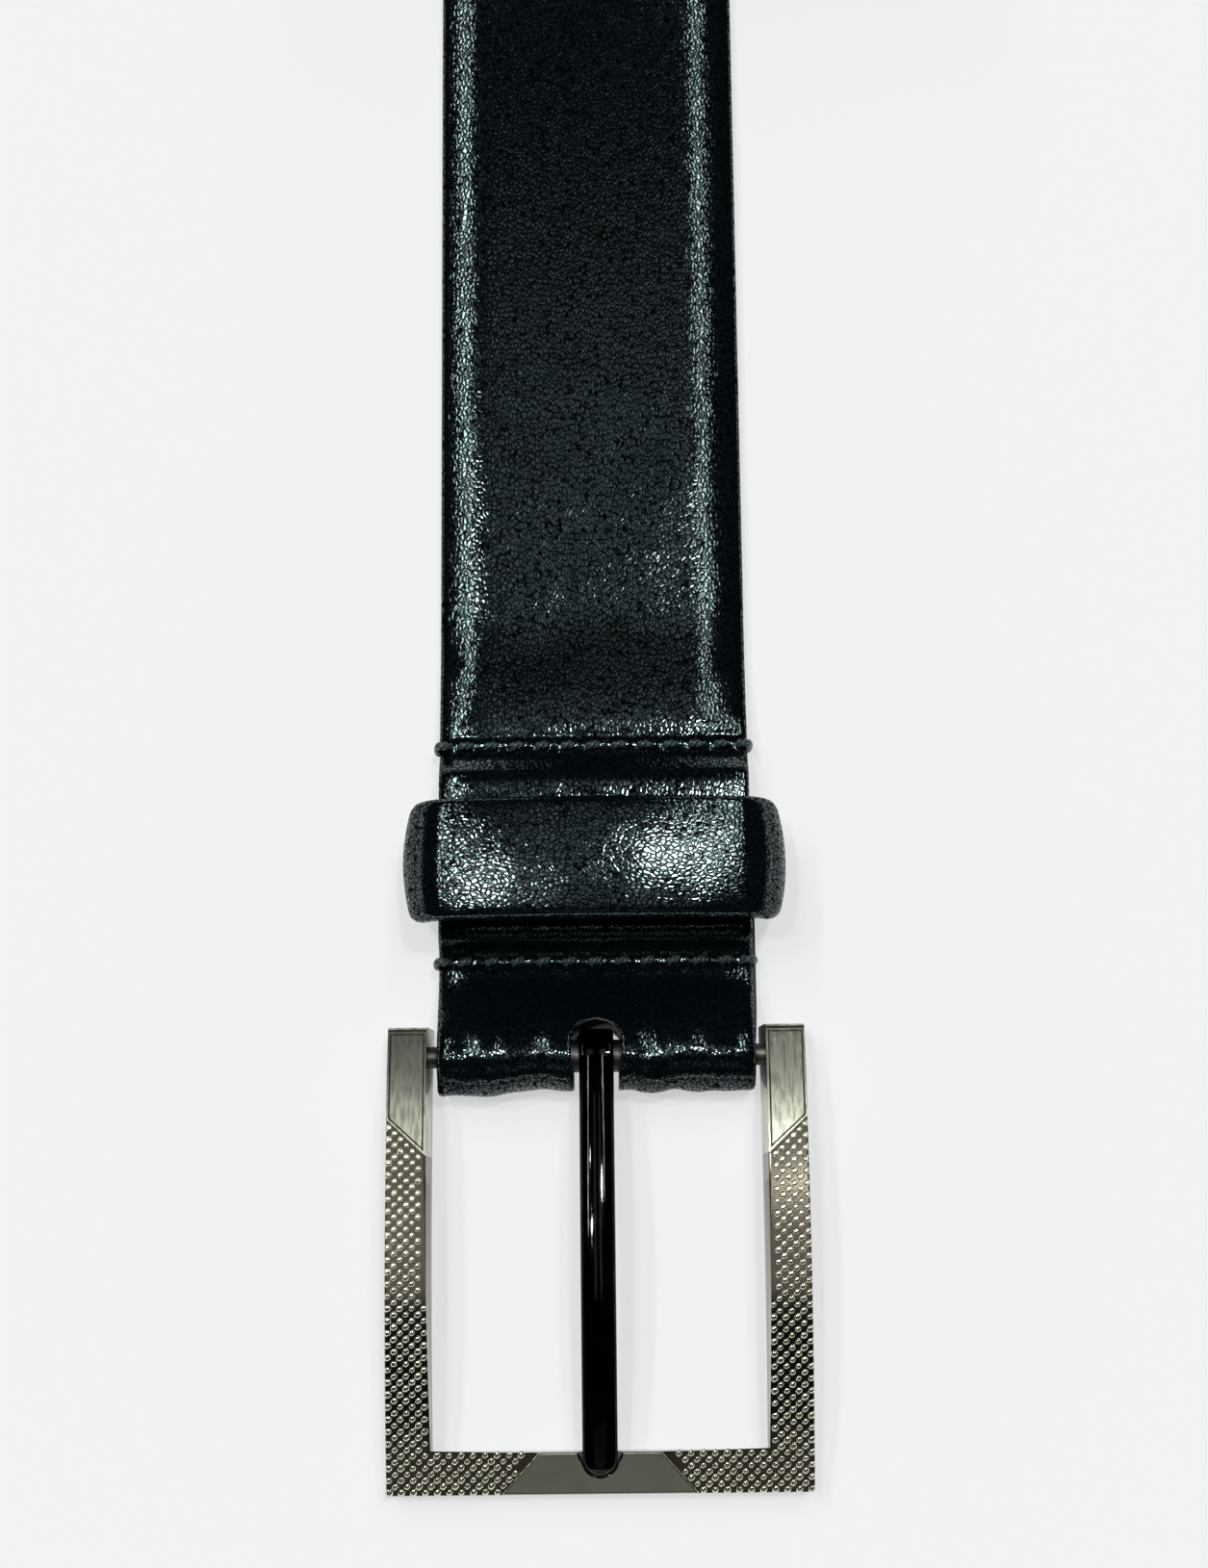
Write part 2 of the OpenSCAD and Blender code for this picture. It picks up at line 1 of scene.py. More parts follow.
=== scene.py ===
"""Leather belt with a pin buckle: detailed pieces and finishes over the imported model.

Sizes are in millimetres in the belt's own plan: x across the strap, y along it from the axis of the
buckle's bar with the buckle at negative y, and z up from the table. A mesh is put in metres and in the
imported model's place when it is made.
"""

from __future__ import annotations

import logging
import math
from dataclasses import dataclass, field
from enum import Enum
from typing import Any, Callable, Sequence

import bmesh
import bpy
import numpy as np
from mathutils import Matrix, Vector, noise


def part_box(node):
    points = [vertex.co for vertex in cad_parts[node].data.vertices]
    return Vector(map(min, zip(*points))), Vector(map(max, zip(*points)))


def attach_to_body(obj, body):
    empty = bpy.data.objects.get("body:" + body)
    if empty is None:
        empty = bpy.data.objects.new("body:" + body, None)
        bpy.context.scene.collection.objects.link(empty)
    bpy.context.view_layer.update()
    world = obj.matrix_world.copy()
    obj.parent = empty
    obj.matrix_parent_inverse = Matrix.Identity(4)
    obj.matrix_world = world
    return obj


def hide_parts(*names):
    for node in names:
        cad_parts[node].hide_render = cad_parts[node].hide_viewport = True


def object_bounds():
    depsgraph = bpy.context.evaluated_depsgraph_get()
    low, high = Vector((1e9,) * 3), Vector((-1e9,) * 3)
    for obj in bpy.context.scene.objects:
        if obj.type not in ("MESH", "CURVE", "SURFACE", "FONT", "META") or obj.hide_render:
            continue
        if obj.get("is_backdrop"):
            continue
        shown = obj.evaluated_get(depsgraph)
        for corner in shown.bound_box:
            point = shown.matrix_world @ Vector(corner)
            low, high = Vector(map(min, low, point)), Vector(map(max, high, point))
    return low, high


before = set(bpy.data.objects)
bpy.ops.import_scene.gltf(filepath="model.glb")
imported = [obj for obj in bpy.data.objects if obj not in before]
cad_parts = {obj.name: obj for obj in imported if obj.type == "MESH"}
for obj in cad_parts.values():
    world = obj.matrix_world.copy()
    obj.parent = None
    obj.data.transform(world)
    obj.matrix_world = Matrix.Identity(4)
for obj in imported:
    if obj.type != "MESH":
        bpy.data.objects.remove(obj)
LOG = logging.getLogger("belt")
MM = 0.001
BAR_LOW, BAR_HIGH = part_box("buckle_bar")
BAR_Y = (BAR_LOW[1] + BAR_HIGH[1]) / 2
BAR_Z = (BAR_LOW[2] + BAR_HIGH[2]) / 2 / MM


class Side(Enum):
    """The two sides of the belt, seen from above with the buckle towards the viewer."""

    LEFT = -1
    RIGHT = 1


# Node trees


@dataclass(frozen=True)
class Field:
    """A socket that takes part in Python sums."""

    tree: "Nodes"
    socket: bpy.types.NodeSocket

    def _math(self, operation: str, *values: Any) -> "Field":
        """Adds one Math node.

        Args:
            operation: the node's operation.
            values: its inputs in order.

        Returns:
            The node's value.
        """
        return self.tree.math(operation, *values)

    def __add__(self, other: Any) -> "Field":
        """Sum."""
        return self._math("ADD", self, other)

    __radd__ = __add__

    def __sub__(self, other: Any) -> "Field":
        """Difference."""
        return self._math("SUBTRACT", self, other)

    def __rsub__(self, other: Any) -> "Field":
        """Difference with a number on the left."""
        return self._math("SUBTRACT", other, self)

    def __mul__(self, other: Any) -> "Field":
        """Product."""
        return self._math("MULTIPLY", self, other)

    __rmul__ = __mul__

    def __truediv__(self, other: Any) -> "Field":
        """Quotient."""
        return self._math("DIVIDE", self, other)

    def __pow__(self, other: Any) -> "Field":
        """Power."""
        return self._math("POWER", self, other)

    def sqrt(self) -> "Field":
        """Square root."""
        return self._math("SQRT", self)

    def abs(self) -> "Field":
        """Size without its sign."""
        return self._math("ABSOLUTE", self)

    def ramp(self, low: float, high: float) -> "Field":
        """Smooth step from 0 at low to 1 at high.

        Args:
            low: value that gives 0.
            high: value that gives 1.

        Returns:
            The eased value.
        """
        node = self.tree.add("ShaderNodeMapRange", {"interpolation_type": "SMOOTHSTEP"},
                             {"Value": self, "From Min": low, "From Max": high})
        return Field(self.tree, node.outputs["Result"])


class Nodes:
    """Adds nodes to one tree, with their settings first and then their sockets."""

    def __init__(self, tree: bpy.types.NodeTree) -> None:
        """Keeps the tree.

        Args:
            tree: the tree to add to.
        """
        self.tree = tree

    def add(self, kind: str, settings: dict[str, Any] | None = None,
            inputs: dict[Any, Any] | None = None) -> bpy.types.Node:
        """Adds one node.

        Args:
            kind: the node's type.
            settings: attributes of the node.
            inputs: a value or a Field for each socket, by name or place.

        Returns:
            The node.
        """
        node = self.tree.nodes.new(kind)
        for key, value in (settings or {}).items():
            setattr(node, key, value)
        for key, value in (inputs or {}).items():
            if isinstance(value, Field):
                self.tree.links.new(value.socket, node.inputs[key])
            else:
                node.inputs[key].default_value = value
        return node

    def get(self, kind: str, output: Any = 0, settings: dict[str, Any] | None = None,
            inputs: dict[Any, Any] | None = None) -> Field:
        """Adds one node and gives one of its outputs.

        Args:
            kind: the node's type.
            output: name or place of the output.
            settings: attributes of the node.
            inputs: a value or a Field for each socket.

        Returns:
            The output.
        """
        return Field(self, self.add(kind, settings, inputs).outputs[output])

    def math(self, operation: str, *values: Any) -> Field:
        """Adds a Math node.

        Args:
            operation: the node's operation.
            values: its inputs in order.

        Returns:
            The value.
        """
        return self.get("ShaderNodeMath", 0, {"operation": operation}, dict(enumerate(values)))

    def vector(self, operation: str, *values: Any) -> Field:
        """Adds a Vector Math node.

        Args:
            operation: the node's operation.
            values: its inputs in order.

        Returns:
            The vector.
        """
        return self.get("ShaderNodeVectorMath", 0, {"operation": operation}, dict(enumerate(values)))

    def combine(self, x: Any = 0.0, y: Any = 0.0, z: Any = 0.0) -> Field:
        """A vector made of three values."""
        return self.get("ShaderNodeCombineXYZ", 0, None, {0: x, 1: y, 2: z})

    def split(self, vector: Field) -> tuple[Field, ...]:
        """The three values of a vector."""
        node = self.add("ShaderNodeSeparateXYZ", None, {0: vector})
        return tuple(Field(self, node.outputs[i]) for i in range(3))

    def mottle(self, place: Field, scale: float, detail: float = 2.0, output: str = "Fac") -> Field:
        """Adds soft noise.

        Args:
            place: where it is read.
            scale: its features to a unit of place.
            detail: how many finer layers it has.
            output: "Fac" for a value or "Color" for a vector.

        Returns:
            The noise.
        """
        return self.get("ShaderNodeTexNoise", output, None,
                        {"Vector": place, "Scale": scale, "Detail": detail})

    def mix(self, factor: Any, first: Any, second: Any) -> Field:
        """Mixes two colours.

        Args:
            factor: 0 gives the first and 1 the second.
            first: colour or Field.
            second: colour or Field.

        Returns:
            The colour.
        """
        return self.get("ShaderNodeMix", 2, {"data_type": "RGBA"}, {0: factor, 6: first, 7: second})


class Kit(Nodes):
    """A Geometry Nodes tree with named inputs that ends in a plain painted mesh."""

    def __init__(self, name: str, sizes: Sequence[str], counts: Sequence[str]) -> None:
        """Makes the tree and its inputs.

        Args:
            name: name of the tree.
            sizes: names of its number inputs.
            counts: names of its whole number inputs.
        """
        made = bpy.data.node_groups.new(name, "GeometryNodeTree")
        kinds = {"Geometry": "Geometry", **dict.fromkeys(sizes, "Float"), **dict.fromkeys(counts, "Int"),
                 "Material": "Material"}
        for label, kind in kinds.items():
            made.interface.new_socket(label, in_out="INPUT", socket_type="NodeSocket" + kind)
        made.interface.new_socket("Geometry", in_out="OUTPUT", socket_type="NodeSocketGeometry")
        super().__init__(made)
        self.given = self.add("NodeGroupInput")

    def take(self, label: str) -> Field:
        """One of the tree's inputs."""
        return Field(self, self.given.outputs[label])

    def moved(self, geometry: Field, **how: Any) -> Field:
        """A geometry moved, turned or scaled, by the node's Translation, Rotation and Scale."""
        return self.get("GeometryNodeTransform", 0, None, {"Geometry": geometry, **how})

    def reshaped(self, geometry: Field, x: Field, y: Field, z: Field) -> Field:
        """A geometry with its points at new places."""
        return self.get("GeometryNodeSetPosition", 0, None,
                        {"Geometry": geometry, "Position": self.combine(x, y, z)})

    def joined(self, *parts: Field) -> Field:
        """Joins several geometries.

        Args:
            parts: the geometries.

        Returns:
            All of them as one.
        """
        node = self.add("GeometryNodeJoinGeometry")
        for part in parts:
            self.tree.links.new(part.socket, node.inputs[0])
        return Field(self, node.outputs[0])

    def close(self, geometry: Field) -> None:
        """Ends the tree with real, smooth and painted faces.

        Args:
            geometry: what the tree has made.
        """
        real = self.get("GeometryNodeRealizeInstances", 0, None, {0: geometry})
        smooth = self.get("GeometryNodeSetShadeSmooth", 0, None, {0: real})
        painted = self.get("GeometryNodeSetMaterial", 0, None, {0: smooth, "Material": self.take("Material")})
        self.add("NodeGroupOutput", None, {0: painted})


# Finishes

Triple = tuple[float, float, float]
Colour = Triple
BLACK: Colour = (0.0008, 0.0024, 0.0032)


def rgba(colour: Colour) -> tuple[float, float, float, float]:
    """Adds full alpha to a colour."""
    return (*colour, 1.0)


@dataclass(frozen=True)
class Finish:
    """A finish: its name and what every surface shader needs."""

    name: str
    colour: Colour
    roughness: float = 0.4
    metallic: float = 0.0

    def material(self) -> bpy.types.Material:
        """Makes the material, or gives it if it is there.

        Returns:
            The material.
        """
        found = bpy.data.materials.get(self.name)
        if found:
            return found
        made = bpy.data.materials.new(self.name)
        made.use_nodes = True
        made.node_tree.nodes.clear()
        nodes = Nodes(made.node_tree)
        shader = nodes.add("ShaderNodeBsdfPrincipled", None, {
            "Base Color": rgba(self.colour), "Roughness": self.roughness, "Metallic": self.metallic})
        self.dress(nodes, shader)
        nodes.add("ShaderNodeOutputMaterial", None, {"Surface": self.surface(nodes, shader)})
        return made

    def surface(self, nodes: Nodes, shader: bpy.types.Node) -> Field:
        """Gives what the material shows.

        Args:
            nodes: the material's tree.
            shader: its surface shader.

        Returns:
            The shader to show.
        """
        return Field(nodes, shader.outputs[0])

    def dress(self, nodes: Nodes, shader: bpy.types.Node) -> None:
        """Adds what this finish has beyond plain values.

        Args:
            nodes: the material's tree.
            shader: its surface shader.
        """

    @staticmethod
    def link(nodes: Nodes, shader: bpy.types.Node, socket: str, value: Field) -> None:
        """Feeds one socket of the shader."""
        nodes.tree.links.new(value.socket, shader.inputs[socket])

    def relief(self, nodes: Nodes, shader: bpy.types.Node, height: Field, strength: float,
               depth: float) -> None:
        """Gives the surface a fine relief.

        Args:
            nodes: the material's tree.
            shader: its surface shader.
            height: the relief's height, from 0 to about 1.
            strength: share of the relief that shows.
            depth: depth of one unit of height.
        """
        bump = nodes.get("ShaderNodeBump", "Normal", None,
                         {"Height": height, "Strength": strength, "Distance": depth * MM})
        self.link(nodes, shader, "Normal", bump)


@dataclass(frozen=True)
class Leather(Finish):
    """Grained leather with a glossy dressing; painted shade darkens its creases, which also lose their gloss.
    """

    pebble: float = 0.5
    depth: float = 0.0095
    stretch: Triple = (1.0, 1.0, 1.0)
    # Colour painted in the creases as shade.
    crease_shade: Colour = (0.0008, 0.0015, 0.002)
    gloss: float = 0.75
    tint: Colour = (0.74, 0.98, 1.0)
    wander: float = 0.5
    wander_scale: float = 900.0
    swell_scale: float = 0.55
    fine_scale: float = 3.0
    roundness: float = 0.34
    # How far from a crease the painted shade reaches, in pebbles.
    crease_shade_reach: float = 0.12
    # Where the creases lose their gloss to the painted shade.
    dull_edge: tuple[float, float] = (0.02, 0.2)

    def place(self, nodes: Nodes) -> Field:
        """Object coordinates stretched as the grain is."""
        return nodes.vector("MULTIPLY", nodes.get("ShaderNodeTexCoord", "Object"), self.stretch)

    def edges(self, nodes: Nodes) -> Field:
        """Measures the distance from the nearest crease.

        Args:
            nodes: the material's tree.

        Returns:
            The distance, in pebbles.
        """
        place = self.place(nodes)
        wander = nodes.mottle(place, self.wander_scale, output="Color")
        wander = nodes.vector("SUBTRACT", wander, (0.5,) * 3)
        wander = nodes.vector("MULTIPLY", wander, (self.wander * MM,) * 3)
        return nodes.get("ShaderNodeTexVoronoi", "Distance", {"feature": "DISTANCE_TO_EDGE"},
                         {"Vector": nodes.vector("ADD", place, wander), "Scale": 1.0 / (self.pebble * MM)})

    def dress(self, nodes: Nodes, shader: bpy.types.Node) -> None:
        """Adds pebbles of uneven size, fine wrinkles on them and painted shade in the creases.

        Args:
            nodes: the material's tree.
            shader: its surface shader.
        """
        place, edge = self.place(nodes), self.edges(nodes)
        scale = 1.0 / (self.pebble * MM)
        swell = nodes.mottle(place, scale * self.swell_scale)
        fine = nodes.mottle(place, scale * self.fine_scale)
        pebbles = edge.ramp(0.0, self.roundness)
        # Painted shade: the base colour darkens towards each crease.
        self.link(nodes, shader, "Base Color",
                  nodes.mix(edge.ramp(0.0, self.crease_shade_reach), rgba(self.crease_shade), rgba(self.colour)))
        self.link(nodes, shader, "Roughness", (1.0 - pebbles) * 0.04 + swell * 0.04 + (self.roughness - 0.02))
        self.relief(nodes, shader, pebbles * (0.3 + swell) + swell * 0.5 + fine * 0.05, 1.0, self.depth)
        shader.inputs["Specular IOR Level"].default_value = self.gloss
        shader.inputs["Specular Tint"].default_value = rgba(self.tint)

    def surface(self, nodes: Nodes, shader: bpy.types.Node) -> Field:
        """Gives the dressed surface with painted shade in the creases between the pebbles, where a dark dull
        shader takes the place of the gloss.

        Args:
            nodes: the material's tree.
            shader: its surface shader.

        Returns:
            The shader to show.
        """
        # Painted shade: a dark diffuse shader fills the creases.
        crease_shade_shader = nodes.get("ShaderNodeBsdfDiffuse", 0, None, {"Color": rgba(self.crease_shade), "Roughness": 1.0})
        return nodes.get("ShaderNodeMixShader", 0, None, {
            0: self.edges(nodes).ramp(*self.dull_edge), 1: crease_shade_shader, 2: Field(nodes, shader.outputs[0])})


@dataclass(frozen=True)
class Fibres(Finish):
    """Flesh side, board or painted edge: fine fibres and flecks."""

    grain: float = 0.12
    depth: float = 0.02
    fleck: Colour = (0.1, 0.09, 0.08)

    def dress(self, nodes: Nodes, shader: bpy.types.Node) -> None:
        """Adds short fibres in two sizes with paler flecks.

        Args:
            nodes: the material's tree.
            shader: its surface shader.
        """
        place = nodes.get("ShaderNodeTexCoord", "Object")
        coarse = nodes.mottle(place, 0.3 / (self.grain * MM), 3.0)
        fine = nodes.mottle(place, 1.0 / (self.grain * MM), 4.0)
        flecks = (coarse * 0.5 + fine * 0.5).ramp(0.42, 0.72)
        self.link(nodes, shader, "Base Color", nodes.mix(flecks, rgba(self.colour), rgba(self.fleck)))
        self.link(nodes, shader, "Roughness", fine * 0.2 + (self.roughness - 0.1))
        self.relief(nodes, shader, coarse * 0.6 + fine, 0.7, self.depth)


@dataclass(frozen=True)
class Waxed(Finish):
    """Waxed thread: filaments along the ply with a dull shine, and a painted sheen on the paler filaments."""

    slant: float = 0.6
    filaments: Triple = (3000.0, 12000.0, 9000.0)
    # How much paler the painted sheen on the filaments is.
    shine: float = 4.0
    depth: float = 0.03

    def dress(self, nodes: Nodes, shader: bpy.types.Node) -> None:
        """Adds fine filaments that run slantwise round the thread, with a painted sheen on the paler ones.

        Args:
            nodes: the material's tree.
            shader: its surface shader.
        """
        turned = nodes.get("ShaderNodeMapping", "Vector", None, {
            "Vector": nodes.get("ShaderNodeTexCoord", "Object"), "Rotation": (0.0, 0.0, self.slant),
            "Scale": self.filaments})
        hair = nodes.mottle(turned, 1.0)
        # Painted sheen: the paler filaments.
        painted_sheen = rgba(tuple(self.shine * part for part in self.colour))
        self.link(nodes, shader, "Base Color", nodes.mix(hair.ramp(0.4, 0.7), rgba(self.colour), painted_sheen))
        self.link(nodes, shader, "Roughness", hair * 0.3 + (self.roughness - 0.15))
        self.relief(nodes, shader, hair, 0.8, self.depth)


@dataclass(frozen=True)
class Plated(Finish):
    """Plated metal with brush lines along the belt, slow changes of tone and faint tarnish."""

    metallic: float = 1.0
    streak: float = 0.12
    stain: Colour = (0.3, 0.26, 0.2)
    stained: float = 0.25
    ripple: float = 0.006
    brushed: float = 0.0
    lines: Triple = (2300.0, 170.0, 2300.0)
    patches: float = 320.0

    def dress(self, nodes: Nodes, shader: bpy.types.Node) -> None:
        """Adds the brush lines and the tarnish.

        Args:
            nodes: the material's tree.
            shader: its surface shader.
        """
        place = nodes.get("ShaderNodeTexCoord", "Object")
        lines = nodes.mottle(nodes.vector("MULTIPLY", place, self.lines), 1.0, 3.0)
        patch = nodes.mottle(place, self.patches, 3.0)
        tone = patch.ramp(0.45, 0.8) * self.stained + lines.ramp(0.44, 0.62) * self.brushed
        self.link(nodes, shader, "Base Color", nodes.mix(tone, rgba(self.colour), rgba(self.stain)))
        self.link(nodes, shader, "Roughness", lines * self.streak + patch * 0.06 + (self.roughness - 0.06))
        self.relief(nodes, shader, lines * self.streak * 6.0 + patch, 0.6, self.ripple)


STRAP_LEATHER = Leather("strap_grain", BLACK, 0.085, stretch=(1.0, 0.75, 1.0))
KEEPER_LEATHER = Leather("keeper_grain", BLACK, 0.085, pebble=0.46, stretch=(0.75, 1.0, 1.0))
EDGE_PAINT = Fibres("painted_edge", (0.003, 0.006, 0.007), 0.3, grain=0.5, depth=0.03,
                    fleck=(0.008, 0.013, 0.014))
LINING = Fibres("flesh_side", (0.028, 0.024, 0.021), 0.6, grain=0.16, fleck=(0.06, 0.05, 0.042))
BOARD = Fibres("bonded_board", (0.2, 0.17, 0.13), 0.8, grain=0.1, fleck=(0.34, 0.3, 0.24))
THREAD = Waxed("waxed_thread", (0.012, 0.019, 0.021), 0.32)
PLATE = Plated("brushed_nickel", (0.5, 0.515, 0.42), 0.17, stain=(0.17, 0.175, 0.13), brushed=0.7)
SMOOTH = Plated("smooth_nickel", (0.4, 0.41, 0.34), 0.2, streak=0.03, stain=(0.2, 0.2, 0.15), ripple=0.002)
# Painted shade: the bar is near black, as it sits in the shadow inside the fold.
SHADED_BAR = Plated("shaded_bar", (0.05, 0.05, 0.05), 0.4)
# Painted shade: the ground between the knurls is a far darker copy of their nickel; its patches are tarnish.
SHADED_GROUND = Plated("shaded_ground_nickel", (0.1, 0.088, 0.066), 0.13, streak=0.02, stain=(0.07, 0.055, 0.04),
                stained=0.35, ripple=0.002)
PIP = Plated("knurl_nickel", (0.66, 0.64, 0.54), 0.13, streak=0.02, stained=0.2, ripple=0.002)
BLACK_NICKEL = Plated("gloss_black_nickel", (0.01, 0.0105, 0.011), 0.07, streak=0.03,
                      stain=(0.06, 0.045, 0.04), stained=0.5, ripple=0.03)


# Meshes

Plan = list[tuple[float, float]]


def attach(made: bpy.types.Object, body: str, replaces: Sequence[str]) -> bpy.types.Object:
    """Puts a piece on its body.

    Args:
        made: the piece.
        body: the moving body that the piece rides on.
        replaces: nodes that the piece stands for.

    Returns:
        The piece.
    """
    bpy.context.scene.collection.objects.link(made)
    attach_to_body(made, body)
    if replaces:
        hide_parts(*replaces)
    return made


def wear(node: str, finish: Finish) -> None:
    """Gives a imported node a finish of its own.

    Args:
        node: name of the node.
        finish: its finish.
    """
    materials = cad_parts[node].data.materials
    materials.clear()
    materials.append(finish.material())


def settle(name: str, work: bmesh.types.BMesh, finishes: Sequence[Finish], body: str,
           replaces: Sequence[str] = (), sharp: float = 32.0) -> bpy.types.Object:
    """Turns a mesh in millimetres into a finished piece on its body.

    Args:
        name: name of the piece.
        work: the mesh, in the belt's own plan. It is freed.
        finishes: one finish for each material index.
        body: the moving body that the piece rides on.
        replaces: nodes that the piece stands for.
        sharp: least angle in degrees of an edge that stays sharp.

    Returns:
        The object.
    """
    place = Matrix.Translation((0, BAR_Y, 0)) @ Matrix.Scale(MM, 4)
    bmesh.ops.transform(work, matrix=place, verts=work.verts)
    bmesh.ops.recalc_face_normals(work, faces=work.faces)
    bmesh.ops.triangulate(work, faces=[f for f in work.faces if len(f.verts) > 4])
    for face in work.faces:
        face.smooth = True
    for edge in work.edges:
        edge.smooth = edge.calc_face_angle(0.0) < math.radians(sharp)
    mesh = bpy.data.meshes.new(name)
    work.to_mesh(mesh)
    work.free()
    for finish in finishes:
        mesh.materials.append(finish.material())
    return attach(bpy.data.objects.new(name, mesh), body, replaces)


def harvest(points: Sequence[Triple], kit: Kit, values: dict[str, Any], name: str, body: str,
            replaces: Sequence[str] = ()) -> bpy.types.Object:
    """Runs a node tree on loose points and keeps the result as a plain piece.

    Args:
        points: the points, in metres.
        kit: the tree.
        values: its inputs by name.
        name: name of the piece.
        body: the moving body that the piece rides on.
        replaces: nodes that the piece stands for.

    Returns:
        The piece.
    """
    mesh = bpy.data.meshes.new(name + "_start")
    mesh.from_pydata(points, [], [])
    start = bpy.data.objects.new(name + "_start", mesh)
    bpy.context.scene.collection.objects.link(start)
    modifier = start.modifiers.new("make", "NODES")
    modifier.node_group = kit.tree
    for item in kit.tree.interface.items_tree:
        if item.in_out == "INPUT" and item.name in values:
            modifier[item.identifier] = values[item.name]
    graph = bpy.context.evaluated_depsgraph_get()
    graph.update()
    made = bpy.data.meshes.new_from_object(start.evaluated_get(graph), preserve_all_data_layers=True,
                                           depsgraph=graph)
    start.modifiers.remove(modifier)
    bpy.data.objects.remove(start)
    made.name = name
    return attach(bpy.data.objects.new(name, made), body, replaces)


def bridge(work: bmesh.types.BMesh, rings: Sequence[Sequence[bmesh.types.BMVert]]) -> None:
    """Joins closed rings of as many points, each to the next.

    Args:
        work: the mesh.
        rings: the rings in order.
    """
    count = len(rings[0])
    for a, b in zip(rings, rings[1:]):
        for j in range(count):
            work.faces.new((a[j], a[(j + 1) % count], b[(j + 1) % count], b[j]))


def arc(mid: tuple[float, float], radius: float, start: float, end: float, count: int) -> Plan:
    """Points of a circle's arc.

    Args:
        mid: the circle's middle.
        radius: its radius.
        start: angle of the first point, in degrees.
        end: angle of the last point, in degrees.
        count: how many points.

    Returns:
        The points in order.
    """
    return [(mid[0] + radius * math.cos(a), mid[1] + radius * math.sin(a))
            for a in np.radians(np.linspace(start, end, count))]


def ease(t: Any) -> Any:
    """Smooth step of a value or an array between 0 and 1."""
    t = np.clip(t, 0.0, 1.0)
    return t * t * (3 - 2 * t)


def rounding(distance: np.ndarray, radius: float) -> np.ndarray:
    """Drop of a rounded edge at a distance from it.

    Args:
        distance: distances from the edge.
        radius: the rounding's radius.

    Returns:
        The drops.
    """
    inside = np.clip(radius - distance, 0.0, radius)
    return radius - np.sqrt(radius * radius - inside * inside)


# The strap


@dataclass
class StrapSizes:
    """Sizes of the strap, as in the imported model."""

    width: float = 35.0
    length: float = 1000.0
    face_t: float = 1.2
    filler_t: float = 1.2
    lining_t: float = 0.9
    point_len: float = 24.0
    point_r: float = 7.0
    hole_count: int = 5
    hole_pitch: float = 25.0
    hole_first: float = 75.0
    hole_d: float = 4.2
    return_len: float = 39.5
    front_row: float = 10.6
    rear_row: float = 35.3
    slot_w: float = 5.6
    slot_reach: float = 4.0
    slot_low_reach: float = 3.2
    slot_front_w: float = 4.6
    fold_in_r: float = 1.9
    press: float = 0.8
    keeper_y: float = 20.9
    keeper_foot: float = 10.4
    slide_front: float = 2.0
    slide_rear: float = 4.8
    run_clear: float = 0.2
    layer_clear: float = 0.02
    run_t: float = 1.5
    roll_y: float = 186.0
    hub_r: float = 20.0
    roll_gap: float = 0.4
    past_top: float = 90.0
    flat_run: float = 7.0
    step_share: float = 0.43

    @property
    def flat_y(self) -> float:
        """Place behind the return from which the strap lies flat."""
        return self.return_len + self.flat_run

    @property
    def thin_t(self) -> float:
        """Thickness where there is no filler."""
        return self.face_t + self.lining_t

    @property
    def full_t(self) -> float:
        """Thickness with the filler."""
        return self.thin_t + self.filler_t

    @property
    def channel_z(self) -> float:
        """Height of the strap's underside over the keeper's bottom run."""
        return self.thin_t + 2 * self.run_clear + self.run_t


